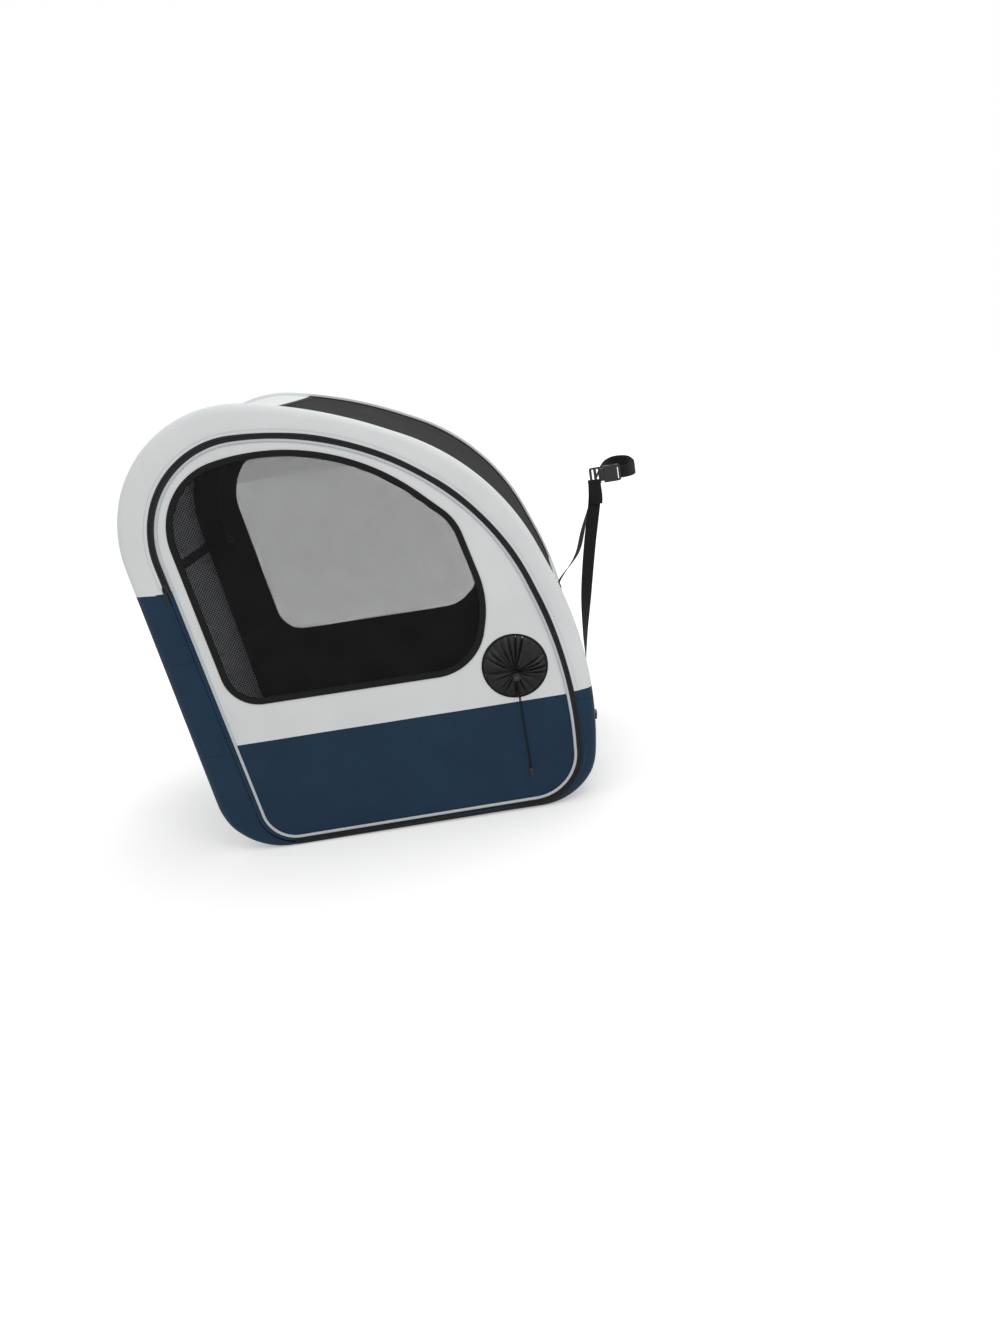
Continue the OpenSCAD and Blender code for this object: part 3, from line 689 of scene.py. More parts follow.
def rim_grid(places, inner_line):
    """Closed band section at each place of the outline.

    Outer skin: straight from the zip (share f from 0 to 1) with a crown of sin(pi f)^0.7, then a
    quarter circle of radius RIM_ROUND over the edge, angle a, which swells outwards by
    RIM_ROLL sin(a + 2 ROLL_SHIFT)^2, growing from the base up to the height ROLL_FROM. The
    inner skin runs back WALL inside it."""
    o, n = outer.at(places)
    i, _ = inner_line.at(places)
    run = unit(o - i)
    f = np.linspace(0, 1, RIM_STEPS)
    a = np.linspace(0, math.pi / 2, ROUND_STEPS + 1)[1:]
    share = np.concatenate([f, np.ones(ROUND_STEPS + 1)])
    from_edge = np.concatenate([f * RIM_ROUND, RIM_ROUND * (1 - np.sin(a)), [0]])
    depth = np.concatenate([np.zeros(RIM_STEPS), RIM_ROUND * (1 - np.cos(a)), [WRAP]])
    crown = np.concatenate([np.sin(math.pi * f) ** 0.7, np.zeros(ROUND_STEPS + 1)])
    in_edge = np.concatenate([f * RIM_ROUND, RIM_ROUND - (RIM_ROUND - WALL) * np.sin(a), [WALL]])
    in_depth = np.concatenate([np.full(RIM_STEPS, WALL),
                               RIM_ROUND - (RIM_ROUND - WALL) * np.cos(a), [WRAP]])

    def skin(edge, y):
        flat = blend(i, o, share)
        return lay(flat - run[:, None] * edge[:, None], -HALF_W + y)

    outside, inside = skin(from_edge, depth), skin(in_edge, in_depth)
    outside[..., 1] -= crown * (RIM_CROWN + RIM_SLACK * slack(outside))
    turned = np.concatenate([np.zeros(RIM_STEPS), np.clip(a / 2 + ROLL_SHIFT, 0, math.pi / 2),
                             [math.pi / 2]])
    swell = np.sin(2 * turned) ** 2 * RIM_ROLL * np.clip(o[:, 1] / ROLL_FROM, 0, 1)[:, None]
    outside += lay(n[:, None] * swell[..., None], 0)
    return np.concatenate([outside, inside[:, ::-1]], 1)


RIM_GAP = 3.2
HINGE_GAP = 0.6
rim_inner = Loop(inset(OPENING, -RIM_GAP))
hinge_inner = Loop(inset(OPENING, [-RIM_GAP] * 5 + [-HINGE_GAP]))
for part, start, stop, cloth, slot in (("upper", AT_FRONT, AT_BACK, GREY_CLOTH, "grey_fabric"),
                                       ("lower", AT_BACK, AT_FRONT, NAVY_BAND, "navy_fabric")):
    places = between(start, stop, outer.count)
    both_sides(f"side_band_{part}", rim_grid(places, rim_inner if part == "upper" else hinge_inner),
               cloth, lined=LINING, replaces=f"rim_{part}", slot=slot)

# ---- Walls: panels between the side bands, sagging a little between the hoops ----

WALL_STEPS = 26
WALL_HALF = HALF_W - WRAP
WALL_SAG = 2.5
WALL_SLACK = 0.7
SEAM_TUCK = 0.8
ROOF_SAG = 3.0
ROOF_NET_HALF = WALL_HALF - 6
ROOF_NET_GAP = 0.4


def wall_grid(start, stop, half_width, sag):
    """Closed skin between two places of the outline, WALL thick.

    Over the width, -1 <= t <= 1, it is hollowed by sag (1 - t^4) and tucked by
    SEAM_TUCK t^12 at its seams."""
    o, n = outer.at(between(start, stop, outer.count))
    t = np.linspace(-1, 1, WALL_STEPS)
    base = lay(np.repeat(o[:, None], WALL_STEPS, 1), half_width * t)
    normal = lay(np.repeat(n[:, None], WALL_STEPS, 1), 0)
    drop = -sag * (1 - t ** 4) - SEAM_TUCK * t ** 12
    outside = base + normal * (drop + WALL_SLACK * (1 - t ** 4) * slack(base))[..., None]
    inside = base + normal * (-WALL + np.minimum(drop, 0) * 0.5)[..., None]
    return np.concatenate([outside, inside[:, ::-1]], 1)


for name, start, stop, cloth, slot in (
        ("base_panel", BACK_FOOT, FRONT_FOOT, NAVY_CLOTH, "navy_fabric"),
        ("back_panel_lower", AT_BACK, BACK_FOOT, NAVY_CLOTH, "navy_fabric"),
        ("back_panel_upper", AT_BACK_TOP, AT_BACK, GREY_CLOTH, "grey_fabric"),
        ("roof_rear_panel", AT_ROOF_REAR, AT_BACK_TOP, GREY_CLOTH, "grey_fabric"),
        ("front_panel_upper", AT_FRONT, AT_ROOF_END, GREY_CLOTH, "grey_fabric"),
        ("front_panel_lower", FRONT_FOOT, AT_FRONT, NAVY_CLOTH, "navy_fabric")):
    grid = wall_grid(start, stop, WALL_HALF, 0.0 if name == "base_panel" else WALL_SAG)
    surface(f"{name}_cloth", grid, cloth, lined=PALE_LINING, slot=slot,
            replaces=name)

surface("roof_net_panel",
        wall_grid(AT_ROOF_END + ROOF_NET_GAP, AT_ROOF_REAR - ROOF_NET_GAP, ROOF_NET_HALF, ROOF_SAG),
        ROOF_NET, slot="black_mesh", replaces="roof_mesh")


def section(width, height, thick, steps=9):
    """Closed section of a flat tape with rounded shoulders: across, and out from its seat."""
    t = np.linspace(-1, 1, steps)
    over = np.stack([t * width / 2, height * (1 - t ** 6)], 1)
    under = np.stack([t[::-1] * width / 2, np.full(steps, -thick)], 1)
    return np.concatenate([over, under])


def band(path, side, out, profile):
    """Profile carried along a path: its first number goes along side, its second along out.

    Each of these directions is one for the whole path, or one for each point of it."""
    side, out = (np.broadcast_to(v, path.shape)[:, None] for v in (side, out))
    return path[:, None] + side * profile[None, :, :1] + out * profile[None, :, 1:]


ROOF_EDGE = WALL_HALF - ROOF_BINDING / 2
ROOF_DIP = 2.0


def roof_binding_parts():
    """Binding tape down both long edges and across both ends of the roof net."""
    o, n = outer.at(between(AT_ROOF_END, AT_ROOF_REAR, outer.count))
    tape = section(ROOF_BINDING, height=1.2, thick=2.6)
    grids = [band(lay(o, side * ROOF_EDGE), ALONG_Y, lay(n, 0), tape) for side in (-1, 1)]
    y = np.linspace(-WALL_HALF, WALL_HALF, WALL_STEPS)
    dip = -ROOF_DIP * (1 - (y / WALL_HALF) ** 4)
    for place, inward in ((AT_ROOF_END, 1), (AT_ROOF_REAR, -1)):
        p, n = outer.at(place)
        along = np.array([-n[1], n[0]]) * inward
        path = lay(p + along * ROOF_BINDING / 2 + n * dip[:, None], y)
        grids.append(band(path, lay(along, 0), lay(n, 0), tape))
    return grids


for k, grid in enumerate(roof_binding_parts()):
    surface(f"roof_binding_{k}", grid, BINDING, slot="black_binding",
            replaces="roof_binding")

# Tape over the back wall's seam, on the inside
SEAM_TAPE_W = 22.0
SEAM_TAPE_IN = WALL + 2.0
SEAM_TAPE_HALF = WALL_HALF - 2.0
seam_p, seam_n = outer.at(AT_BACK)
seam_path = lay(np.tile(seam_p - seam_n * SEAM_TAPE_IN, (WALL_STEPS, 1)),
                np.linspace(-SEAM_TAPE_HALF, SEAM_TAPE_HALF, WALL_STEPS))
seam_run = lay(np.array([-seam_n[1], seam_n[0]]), 0)
surface("back_seam_tape", band(seam_path, seam_run, lay(-seam_n, 0),
                               section(SEAM_TAPE_W, height=0.8, thick=1.4)),
        BINDING, slot="black_binding")

# ---- Doors ----

DOOR_STEPS = 26
DOOR_THICK = 3.5
DOOR_PAD = 2.4
DOOR_TUCK = 0.6
DOOR_SLACK = 0.35
CLOTH_IN = PIPING_IN - 1.6
SEAT_IN = 2.0


def door_grid(outside, inside):
    """Closed ring between two outlines, its share t from 0 at the zip to 1 at the window.

    Its face stands out by DOOR_PAD sin(pi t)^0.35 - DOOR_TUCK, with a little slack."""
    t = np.linspace(0, 1, DOOR_STEPS)
    flat = blend(outside.p, inside.p, t)
    face = lay(flat, -HALF_W + DOOR_FACE)
    rise = DOOR_PAD * np.clip(np.sin(math.pi * t), 0, 1) ** 0.35 - DOOR_TUCK
    face[..., 1] -= rise * (1 + DOOR_SLACK * slack(face))
    rear = lay(flat, -HALF_W + DOOR_FACE + DOOR_THICK)
    return np.concatenate([face, rear[:, ::-1]], 1)


def cut(piece, name, height, keep_above, material):
    """Copy of a piece with all that lies below, or above, a level plane cut away and closed."""
    bm = bmesh.new()
    bm.from_mesh(piece.data)
    geometry = bm.verts[:] + bm.edges[:] + bm.faces[:]
    result = bmesh.ops.bisect_plane(bm, geom=geometry, plane_co=(0, 0, height * MM),
                                    plane_no=(0, 0, 1), clear_outer=not keep_above,
                                    clear_inner=keep_above)
    rim = [g for g in result["geom_cut"] if isinstance(g, bmesh.types.BMEdge)]
    bmesh.ops.holes_fill(bm, edges=rim)
    mesh = bpy.data.meshes.new(name)
    bm.to_mesh(mesh)
    bm.free()
    mesh.materials.append(material)
    mesh.materials.append(LINING)
    mesh.set_sharp_from_angle(angle=SHARP_ANGLE)
    half = show(name, mesh)
    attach(half, piece["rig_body"])
    return half


window_seat = Loop(inset(WINDOW, SEAT_IN))
blanks = both_sides("door_blank", door_grid(Loop(inset(OPENING, CLOTH_IN)), window_seat),
                    GREY_CLOTH, around=True, lined=LINING, bodies=DOORS)
for whole, side in zip(blanks, ("near", "far")):
    upper = cut(whole, f"{side}_door_upper_cloth", DOOR_SPLIT, True, GREY_CLOTH)
    lower = cut(whole, f"{side}_door_lower_cloth", DOOR_SPLIT, False, NAVY_CLOTH)
    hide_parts(f"{side}_door_upper")
    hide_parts(f"{side}_door_lower")
    bpy.data.objects.remove(whole)


def oval(half_width, half_height, sides):
    """Closed ellipse of points."""
    a = np.linspace(0, TURN, sides, endpoint=False)
    return np.stack([np.cos(a) * half_width, np.sin(a) * half_height], 1)


PIPING_OUT = 1.6
piping_line = Loop(inset(OPENING, [PIPING_IN] * 5 + [PIPING_IN_HINGE], PIPING_IN))
both_sides("piping_cord", band(lay(piping_line.p, -HALF_W - PIPING_OUT), ALONG_Y,
                               lay(piping_line.n, 0), oval(PIPING_R, PIPING_R, 12)[:, ::-1]),
           PIPING, around=True, bodies=DOORS, replaces="piping", slot="piping")

# Below the zip's end: a navy strip from the hinge groove to the piping, and a tape behind it
STRIP_STEPS = 7
STRIP_FROM, STRIP_OUT, STRIP_THICK, STRIP_CROWN = 0.8, 1.0, 4.4, 1.2
TAPE_FROM, TAPE_TO, TAPE_IN, TAPE_THICK, TAPE_CROWN = -6.0, 5.0, 5.0, 0.8, 0.3


def strip_grid(places, outside, inside, face, thick, crown):
    """Closed strip between two outlines over some places, crowned by sin(pi t)^0.6."""
    t = np.linspace(0, 1, STRIP_STEPS)
    flat = blend(outside.at(places)[0], inside.at(places)[0], t)
    front_skin = lay(flat, -HALF_W + face)
    front_skin[..., 1] -= crown * np.sin(math.pi * t) ** 0.6
    rear = lay(flat, -HALF_W + face + thick)
    return np.concatenate([front_skin, rear[:, ::-1]], 1)


hinge_places = between(ZIP_LOW, ZIP_START, opening.count)
both_sides("hinge_strip", strip_grid(hinge_places, Loop(inset(OPENING, STRIP_FROM)), piping_line,
                                     -STRIP_OUT, STRIP_THICK, STRIP_CROWN),
           NAVY_CLOTH, lined=LINING, bodies=DOORS, slot="navy_fabric")
both_sides("hinge_tape", strip_grid(hinge_places, Loop(inset(OPENING, TAPE_FROM)),
                                    Loop(inset(OPENING, TAPE_TO)), TAPE_IN, TAPE_THICK, TAPE_CROWN),
           LINING, slot="navy_fabric")

# ---- Zips: tape with a raised coil on the edge where the halves meet ----

COIL_R = 1.5


def zip_grid(line, toward, places):
    """Tape ZIP_W wide from the meeting line, a half round coil on its meeting edge."""
    p, n = line.at(places)
    a = np.linspace(0, math.pi, 7)
    ridge = np.stack([0.2 + COIL_R - COIL_R * np.cos(a), COIL_R * np.sin(a) + 0.8], 1)
    tape = np.array([[ZIP_W * 0.75, 0.9], [ZIP_W, 0.8], [ZIP_W + 2.0, 0.2], [ZIP_W + 2.0, -2.0],
                     [0.1, -2.2]])
    profile = np.concatenate([[[0.1, 0.0]], ridge, tape])
    return band(lay(p, -HALF_W + DOOR_FACE), lay(n, 0) * toward, OUT_NEAR, profile)


zip_places = between(ZIP_START, ZIP_LOW, opening.count)
both_sides("zip_half_outer", zip_grid(opening, 1, zip_places), COIL,
           replaces="zip_outer", slot="zip_tape")
both_sides("zip_half_inner", zip_grid(opening, -1, zip_places), COIL,
           bodies=DOORS, replaces="zip_inner", slot="zip_tape")

# ---- Windows ----

NET_IN, NET_DEPTH, NET_BULGE, NET_STEPS = 9.0, 1.6, 2.0, 22
NET_TURN = {"near": math.radians(8), "far": math.radians(-5)}


def net_sheet(side, body):
    """Window net from its edge (t = 0) to its middle (t = 1), where it stands out NET_BULGE.

    Its UV is taken straight from x and z, so that its rows of holes stay parallel."""
    line = Loop(inset(WINDOW, NET_IN)).p
    t = np.linspace(0, 0.999, NET_STEPS)
    flat = blend(line, np.broadcast_to(line.mean(0), line.shape), t)
    grid = lay(flat, -HALF_W + NET_DEPTH - NET_BULGE * (1 - (1 - t) ** 2))
    grid = grid if side == "near" else mirrored(grid)
    faces, _ = grid_quads(*grid.shape[:2], True, False, side == "far")
    uv = grid.reshape(-1, 3)[faces.ravel()][:, [0, 2]]
    c, s = math.cos(NET_TURN[side]), math.sin(NET_TURN[side])
    return place_mesh(f"{side}_window_net_sheet", grid, faces.tolist(), NET,
                      uv @ np.array([[c, -s], [s, c]]), body=body, slot="black_mesh",
                      replaces=f"{side}_window_mesh")


nets = [net_sheet(side, body) for side, body in zip(("near", "far"), DOORS)]
BINDING_OUT = 0.6
binding_line = Loop(inset(WINDOW, WINDOW_BINDING / 2))
both_sides("window_binding_tape", band(lay(binding_line.p, -HALF_W - BINDING_OUT),
                                       lay(binding_line.n, 0), OUT_NEAR,
                                       section(WINDOW_BINDING, height=1.9, thick=4.6, steps=11)),
           BINDING, around=True,
           bodies=DOORS, replaces="window_binding", slot="black_binding")

# ---- Hand hole: a satin sleeve gathered to its middle by the draw cord ----

PLEATS = 21
PLEAT_DEPTH = 9.5
SLEEVE_H = 9.0
SLEEVE_SEAT = 0.5
HEM_OUT = 1.4
HEM_HALF = (2.2, 1.5)
GATHER_DROP = 10.0


def sleeve_grid():
    """Disc that rises to the gather, which lies GATHER_DROP (1 - s) below the hole's middle.

    A pleat is round on top and sharp in its valley: 2 |cos(phase / 2)|^0.7 - 1, where the phase
    is PLEATS a, bent so that pleats differ in width and swirl a little towards the middle. Its
    depth goes as (s + 0.1) (1 - s)^0.45 over the share s of the radius, more for some pleats."""
    a = np.linspace(0, TURN, PLEATS * 16, endpoint=False)[:, None]
    s = np.linspace(0.03, 1, 34)[None, :]
    phase = (PLEATS * a + 2.3 * np.sin(3 * a + 0.6) + 1.7 * np.sin(5 * a)
             + 1.2 * (1 - s) * np.sin(2 * a + 1))
    wave = 2 * np.abs(np.cos(phase / 2)) ** 0.7 - 1
    own = 1 + 0.45 * np.sin(4 * a + 2) + 0.3 * np.sin(9 * a + 5 * s)
    fold = 0.6 * np.cos(6 * a + 0.8 + 1.5 * s)
    depth = PLEAT_DEPTH * (s + 0.1) * (1 - s) ** 0.45
    rise = SLEEVE_H * np.clip((1 - s) / 0.35, 0, 1) ** 0.7 - 3.5 * np.exp(-((s / 0.15) ** 2))
    r = SLEEVE_R * s
    out = rise + depth * (wave * own + fold) * 0.5
    return np.stack([HOLE_X + r * np.cos(a), -HALF_W + DOOR_FACE - 1.0 - np.maximum(out, 0.2),
                     HOLE_Z - GATHER_DROP * (1 - s) + r * np.sin(a)], -1)


face = sleeve_grid()
rear = face[:, ::-1].copy()
rear[..., 1] = -HALF_W + DOOR_FACE + SLEEVE_SEAT
surface("hand_hole_gather", np.concatenate([face, rear], 1), SATIN, around=True,
        body="near_door", slot="satin", replaces="hand_hole_sleeve")
round_hole = oval(1, 1, 120)
surface("hand_hole_hem", band(lay(round_hole * SLEEVE_R + (HOLE_X, HOLE_Z), -HALF_W - HEM_OUT),
                              lay(round_hole, 0), OUT_NEAR, oval(*HEM_HALF, 10)),
        BINDING, around=True, body="near_door", slot="black_binding")

# ---- Draw cord: two strands that hang from the cord lock to the cord end ----

CORD_D = 2.0
STRAND_GAP = 1.15
CORD_ROUTE = [(0, 20.7, 278), (0, 20.7, 270), (0, 20.7, 262), (0, 20.7, 252), (0, 20.6, 240),
              (0.3, 20.4, 226), (0.5, 20.2, 212), (0.4, 20, 198), (0, 20, 184), (-0.4, 20, 170),
              (-0.5, 20, 156), (-0.2, 20, 142), (0, 20, 128), (0, 20, 114), (0, 20, 102),
              (0, 20, 96)]


def tube_along(points, radius):
    """Round tube down through points: a circle in the plane across each point's direction."""
    step = unit(np.gradient(points, axis=0))
    side = unit(np.cross(step, ALONG_Y))
    return band(points, side, np.cross(step, side), oval(radius, radius, 10))


for side, name in ((-1, "left"), (1, "right")):
    route = np.array([(HOLE_X + side * (STRAND_GAP + abs(x)), -HALF_W - y, z)
                      for x, y, z in CORD_ROUTE])
    strand = surface(f"draw_cord_{name}", tube_along(route, CORD_D / 2), CORD,
                     body="near_door", slot="cord", replaces="draw_cord")

# ---- Seat strap ----

STRAP_W = 25.0
STRAP_T = 1.6
NEAR_Y, FAR_Y = -85.0, 75.0
BUCKLE_X, BUCKLE_Z = front(-97), 617.0
HOUSING_L = 34.0
BEHIND_LADDER = 2.5 + 0.3 + STRAP_T / 2
STRAP_OFF = 2.4 + 0.6 + STRAP_T / 2


def front_place(share):
    """Place on the outline at a share of the front wall's long curve."""
    return 2 * ARC_STEPS + sum(STRAIGHT_STEPS[:2]) + ARC_STEPS * share


def off_front(share, y, out):
    """Point off the front wall, at a share of its long curve."""
    p, n = outer.at(front_place(share))
    return (p[0] + n[0] * out, y, p[1] + n[1] * out)


UPPER_AT, LOWER_AT = 0.68, 0.16
UPPER_ROUTE = [
    (off_front(UPPER_AT, FAR_Y, STRAP_OFF), (0, 1, 0)),
    (off_front(UPPER_AT + 0.04, FAR_Y, STRAP_OFF + 3), (0, 1, 0)),
    ((front(-30), FAR_Y, 432), (0.5, 1, 0)), ((front(-52), FAR_Y, 486), (0.5, 1, 0)),
    ((front(-76), FAR_Y, 548), (0, 1, 0)), ((front(-92), FAR_Y, 586), (0, 1, 0)),
    ((front(-102), FAR_Y, 603), (0, 1, 0.1)), ((front(-114), FAR_Y, 614), (0, 1, 0.5)),
    ((front(-128), FAR_Y, 619), (0, 0.6, 1)), ((front(-144), FAR_Y - 3, 621), (0, 0, 1)),
    ((front(-158), FAR_Y - 16, 621), (0, 0, 1)), ((front(-166), FAR_Y - 36, 620), (0, 0, 1)),
    ((front(-168), -5, 619), (0, 0, 1)), ((front(-166), NEAR_Y + 36, 618), (0, 0, 1)),
    ((front(-158), NEAR_Y + 16, 617), (0, 0, 1)), ((front(-146), NEAR_Y + 3, 617), (0, 0, 1)),
    ((BUCKLE_X + HOUSING_L + 0.3, NEAR_Y, BUCKLE_Z), (0, 0, 1))]
LOWER_ROUTE = [
    ((BUCKLE_X - 21, NEAR_Y + BEHIND_LADDER, BUCKLE_Z - 8), (1, 0, 0)),
    ((BUCKLE_X - 22, NEAR_Y + BEHIND_LADDER, BUCKLE_Z - 26), (1, 0, 0)),
    ((BUCKLE_X - 27, NEAR_Y + 2, 560), (1, 0, 0)), ((front(-50), NEAR_Y, 480), (1, 0.1, 0)),
    ((front(-30), NEAR_Y, 385), (1, 0.4, 0)), ((front(-16), NEAR_Y, 300), (0.6, 1, 0)),
    ((front(-9), NEAR_Y, 240), (0.1, 1, 0)),
    (off_front(LOWER_AT + 0.06, NEAR_Y, STRAP_OFF + 2), (0, 1, 0)),
    (off_front(LOWER_AT, NEAR_Y, STRAP_OFF), (0, 1, 0))]
TAIL_ROUTE = [
    ((BUCKLE_X - 21, NEAR_Y - BEHIND_LADDER, BUCKLE_Z - 8), (1, 0, 0)),
    ((BUCKLE_X - 21, NEAR_Y - BEHIND_LADDER - 0.6, BUCKLE_Z - 24), (1, 0, 0)),
    ((BUCKLE_X - 21, NEAR_Y - BEHIND_LADDER - 1.5, BUCKLE_Z - 40), (1, 0, 0)),
    ((BUCKLE_X - 23, NEAR_Y - BEHIND_LADDER - 1, BUCKLE_Z - 56), (1, 0, 0))]


def smooth(rows, per_span=8):
    """Catmull-Rom curve through rows: each span a cubic with the chord slopes of its ends."""
    rows = np.asarray(rows, float)
    slope = np.gradient(rows, axis=0)
    t = (np.arange(per_span) / per_span)[None, :, None]
    p0, p1, m0, m1 = rows[:-1, None], rows[1:, None], slope[:-1, None], slope[1:, None]
    span = ((2 * t ** 3 - 3 * t ** 2 + 1) * p0 + (t ** 3 - 2 * t ** 2 + t) * m0
            + (-2 * t ** 3 + 3 * t ** 2) * p1 + (t ** 3 - t ** 2) * m1)
    return np.concatenate([span.reshape(-1, rows.shape[1]), rows[-1:]])


def ribbon_grid(route):
    """Flat webbing along a smooth path, its width held across the way it runs."""
    path = smooth([p for p, _ in route])
    width = smooth([w for _, w in route])
    along = unit(np.gradient(path, axis=0))
    side = unit(width - (width * along).sum(1, keepdims=True) * along)
    face = np.cross(along, side)
    t = np.linspace(-1, 1, 9)
    over = np.stack([t * STRAP_W / 2, STRAP_T / 2 * (1 - 0.5 * t ** 8)], 1)
    profile = np.concatenate([over, over[::-1] * [1, -1]])
    return band(path, side, face, profile)


for name, route in (("strap_upper", UPPER_ROUTE), ("strap_lower", LOWER_ROUTE),
                    ("strap_tail", TAIL_ROUTE)):
    surface(f"{name}_webbing", ribbon_grid(route), WEBBING, slot="webbing",
            replaces=name)

# Patches over the strap's ends: each runs over PATCH_PLACES places of the outline
PATCH_W, PATCH_OFF, PATCH_PLACES = 33.0, 0.4, 1.6
for k, (share, y) in enumerate(((UPPER_AT, FAR_Y), (LOWER_AT, NEAR_Y))):
    p, n = outer.at(front_place(share) + np.linspace(-0.5, 0.5, 9) * PATCH_PLACES)
    surface(f"strap_patch_{k}", band(lay(p + n * PATCH_OFF, y), ALONG_Y, lay(n, 0),
                                     section(PATCH_W, height=2.4, thick=1.0)),
            WEBBING, slot="webbing", replaces="strap_anchors")

# ---- Floor mat: a quilted pad on the base board ----

QUILT_PITCH = 62.0
CHANNEL_W = 4.0
CHANNEL_DEPTH = 0.55
MAT_STEPS = (150, 110)
MAT_EDGE = 4.0
MAT_CORNER = 30.0


def mat_grid():
    """Pad between a crowned top skin and a flat underside, over -1 <= u, v <= 1.

    Top height: MAT_EDGE + (T - MAT_EDGE) (1 - u^8) (1 - v^8), less CHANNEL_DEPTH of the second
    part times exp(-(d / CHANNEL_W)^2) along each line of a diamond grid QUILT_PITCH apart. The
    corners are rounded by drawing the sides in over the last MAT_CORNER of the length."""
    low, high = (np.array(c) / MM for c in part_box("floor_mat"))
    middle, half = (low + high) / 2, (high - low) / 2
    u = np.sin(np.linspace(-1, 1, MAT_STEPS[0]) * math.pi / 2)[:, None]
    v = np.linspace(-1, 1, MAT_STEPS[1])[None, :]
    past = np.clip(np.abs(u) * half[0] - (half[0] - MAT_CORNER), 0, MAT_CORNER)
    reach = (half[1] - MAT_CORNER + np.sqrt(np.maximum(MAT_CORNER ** 2 - past ** 2, 0))
             - 0.6 * np.cos(math.pi * u) ** 2)
    x, y = middle[0] + half[0] * u + 0 * v, middle[1] + reach * v
    thick = 2 * half[2]
    near = [np.abs((k / QUILT_PITCH + 0.5) % 1 - 0.5) * QUILT_PITCH / math.sqrt(2)
            for k in (x + y, x - y)]
    channel = np.maximum(*(np.exp(-(d / CHANNEL_W) ** 2) for d in near))
    swell = (1 - u ** 8) * (1 - v ** 8)
    height = MAT_EDGE + (thick - MAT_EDGE) * swell * (1 - CHANNEL_DEPTH * channel)
    top_skin = np.stack([x, y, low[2] + height], -1)
    under = np.stack([x, y, low[2] + 0 * x], -1)
    return np.concatenate([top_skin, under[:, ::-1]], 1)


mat = surface("quilted_mat", mat_grid(), MAT_CLOTH, slot="mat",
              replaces="floor_mat")

# ---- Stitching ----

STITCH = 3.2
STITCH_GAP = 1.5
STITCH_R = 0.42
STITCH_IN = 2.6
STITCH_OFF = 3.6
RIM_ROW_OFF = 11.0
BINDING_TOP, RIM_TOP, ROOF_TAPE_TOP = 2.35, 1.9, 1.25


def stitch_rows(path, out):
    """Stitches along a path as low arched tubes.

    A stitch of length STITCH is a tube whose radius goes as sin(pi f)^0.5 over its length."""
    step = np.linalg.norm(np.diff(path, axis=0), axis=1)
    run = np.concatenate([[0], np.cumsum(step)])
    starts = np.arange(0, run[-1] - STITCH, STITCH + STITCH_GAP)
    f = np.array([0.02, 0.3, 0.7, 0.98])
    at = starts[:, None] + f * STITCH
    centre = np.stack([np.interp(at, run, path[:, k]) for k in range(3)], -1)
    lift = np.stack([np.interp(at, run, out[:, k]) for k in range(3)], -1)
    along = unit(centre[:, -1:] - centre[:, :1])
    side = np.cross(along, lift)
    a = np.linspace(0, TURN, 6, endpoint=False)
    r = (STITCH_R * np.sin(math.pi * f) ** 0.5)[None, :, None, None]
    return (centre[:, :, None] + side[:, :, None] * np.cos(a)[:, None] * r
            + lift[:, :, None] * np.sin(a)[:, None] * r)


def add_stitches(name, path, out, material, body, slot):
    """All the stitches of one row as one piece."""
    tube = stitch_rows(path, out)
    count, rings, sides = tube.shape[:3]
    flip = faces_inward(tube[0], False)
    quads, _ = grid_quads(rings, sides, False, True, flip)
    ends = np.array([np.arange(sides), (rings - 1) * sides + np.arange(sides)[::-1]])
    ends = ends[:, ::-1] if flip else ends
    first = np.arange(count)[:, None, None] * rings * sides
    faces = [face for part in (quads, ends)
             for face in (part + first).reshape(-1, part.shape[1]).tolist()]
    uv = np.concatenate([np.tile([[0, 0], [0, 1], [1, 1], [1, 0]], (count * len(quads), 1)),
                         np.zeros((count * 2 * sides, 2))])
    return place_mesh(name, tube, faces, material, uv, body=body, slot=slot)


def stitched_outline(name, flat, out, material, bodies, slot):
    """A row of stitches on each side along the points `flat`, which stands `out` from the side."""
    near = lay(flat, -HALF_W - out)
    lift = np.broadcast_to(OUT_NEAR, near.shape)
    add_stitches(f"near_{name}", near, lift, material, bodies[0], slot)
    add_stitches(f"far_{name}", mirrored(near), mirrored(lift), material, bodies[1], slot)


for k, depth in enumerate((STITCH_IN, WINDOW_BINDING - STITCH_IN)):
    line = Loop(inset(WINDOW, depth)).p
    stitched_outline(f"window_stitches_{k}", np.concatenate([line, line[:1]]), BINDING_TOP,
                     THREAD_BLACK, DOORS, "black_binding")
rim_row, _ = Loop(inset(OPENING, -RIM_ROW_OFF)).at(between(*RIM_ROW, opening.count))
stitched_outline("rim_stitches", rim_row, RIM_TOP, THREAD_GREY, ("shell", "shell"), "grey_fabric")
o, n = outer.at(between(AT_ROOF_END, AT_ROOF_REAR, outer.count))
roof_rows = [side * (ROOF_EDGE + off) for side in (-1, 1) for off in (-STITCH_OFF, STITCH_OFF)]
for k, y in enumerate(roof_rows):
    add_stitches(f"roof_stitches_{k}", lay(o + n * ROOF_TAPE_TOP, y), lay(n, 0), THREAD_BLACK,
                 "shell", "black_binding")

# ---- Finishes on the carried pieces ----

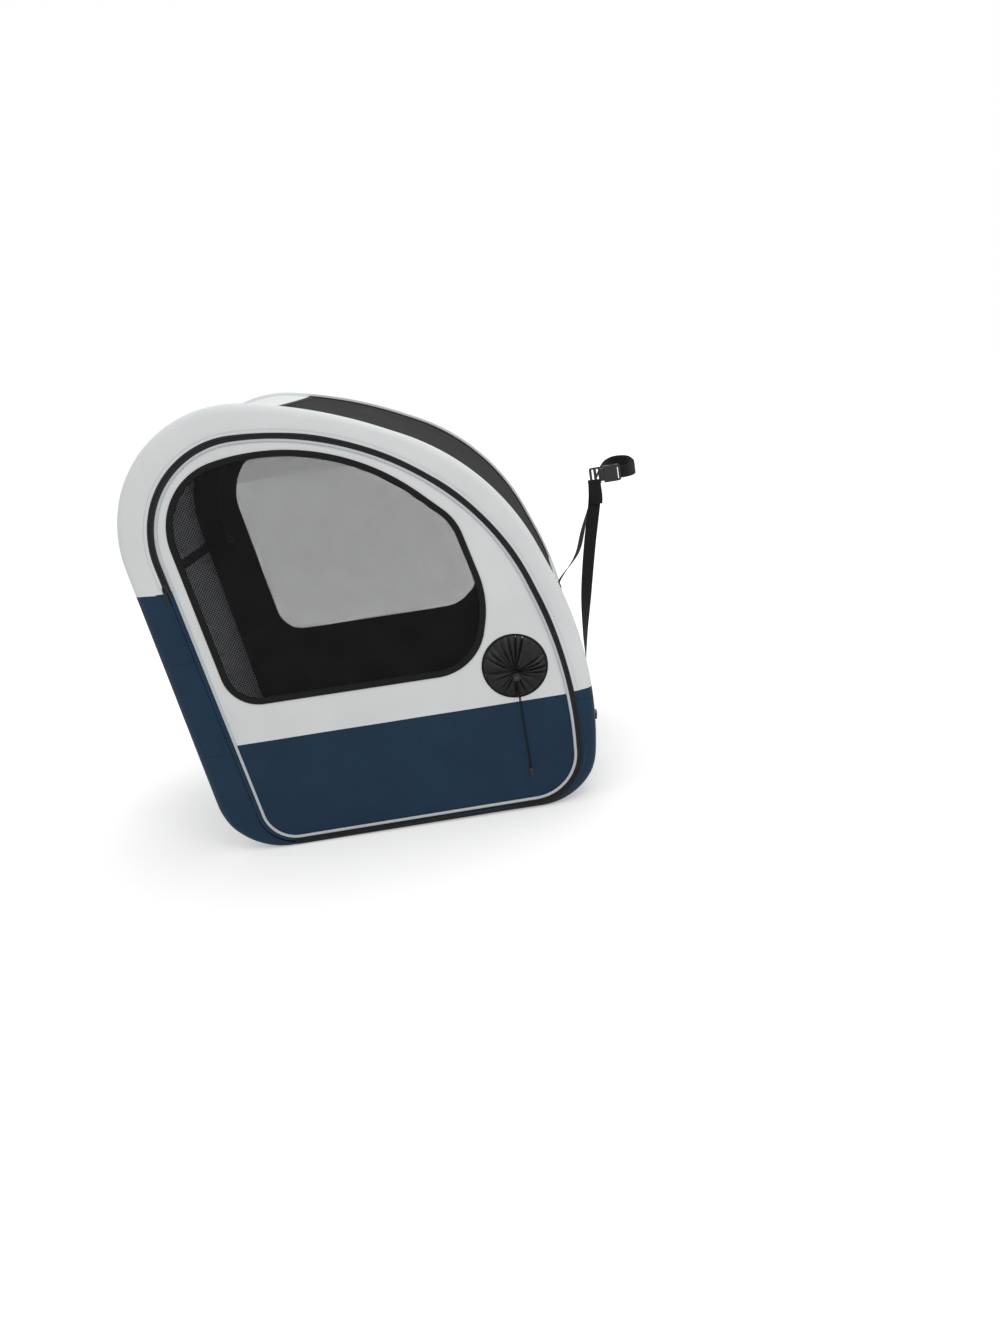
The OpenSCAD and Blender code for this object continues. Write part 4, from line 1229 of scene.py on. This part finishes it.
NODE_MATERIALS = {
    PLASTIC: ("rod_connectors", "cord_lock", "cord_end", "buckle_housing", "buckle_frame",
              "lower_loop"),
    PRESS_PLASTIC: ("cord_lock_button", "buckle_prong_top", "buckle_prong_bottom"),
    STEEL: ("cord_lock_spring",),
    HOOP_SLEEVE: ("near_hoop", "far_hoop"),
    ROD: ("cross_rods",),
    ZIP_METAL: ("near_slider", "near_pull", "far_slider", "far_pull"),
    BOARD: ("base_board",),
}
for material, names in NODE_MATERIALS.items():
    for name in names:
        node = frame["nodes"][name]
        node.data.materials.clear()
        node.data.materials.append(material)

# ---- Stage ----

FLOOR_HALF = 9.0
FLOOR_GLOW = (0.36, 0.62)
GLOW_REACH = (0.45, 1.4)
SKY = 0.72


def add_floor():
    """Pale floor that keeps the shadow, and that runs out to plain white away from the carrier."""
    m = Mat("floor_paint", rough=0.9, specular=0.05)
    place = m.coords("Object")
    cloud = m.noise(place, 3.0)
    m.tint(cloud, (0.8, 0.8, 0.8), 1.0, 1.025)
    path = m.node("ShaderNodeLightPath")
    length = m.node("ShaderNodeVectorMath", operation="LENGTH")
    m.link(place, length.inputs[0])
    away = m.spread(length.outputs["Value"], *FLOOR_GLOW, *GLOW_REACH,
                    interpolation_type="SMOOTHSTEP")
    m.shader.inputs["Emission Color"].default_value = (1, 1, 1, 1)
    m.link(m.times(path.outputs["Is Camera Ray"], away), m.shader.inputs["Emission Strength"])
    mesh = bpy.data.meshes.new("floor")
    h = FLOOR_HALF
    mesh.from_pydata([(-h, -h, 0), (h, -h, 0), (h, h, 0), (-h, h, 0)], [], [(0, 1, 2, 3)])
    mesh.materials.append(m.material)
    show("floor", mesh)


def set_world():
    """Even sky of strength SKY that reads as plain white where it is seen or mirrored."""
    world = bpy.data.worlds.new("studio")
    bpy.context.scene.world = world
    w = Nodes(world)
    background = w.tree.nodes["Background"]
    background.inputs["Color"].default_value = (1, 1, 1, 1)
    rays = w.node("ShaderNodeLightPath").outputs
    seen = w.math("MAXIMUM", rays["Is Camera Ray"], rays["Is Glossy Ray"])
    seen = w.math("MAXIMUM", seen, rays["Is Transmission Ray"])
    w.link(w.spread(seen, SKY, 1.0), background.inputs["Strength"])


add_camera()
add_lamp("key", (0.9, -2.2, 2.6), (0, 0, 0.4), 1.4, 16)
add_lamp("top", (0.4, 0.4, 2.6), (0, 0, 0.5), 1.6, 12)
add_floor()
set_world()
bpy.context.scene.view_settings.view_transform = "Standard"
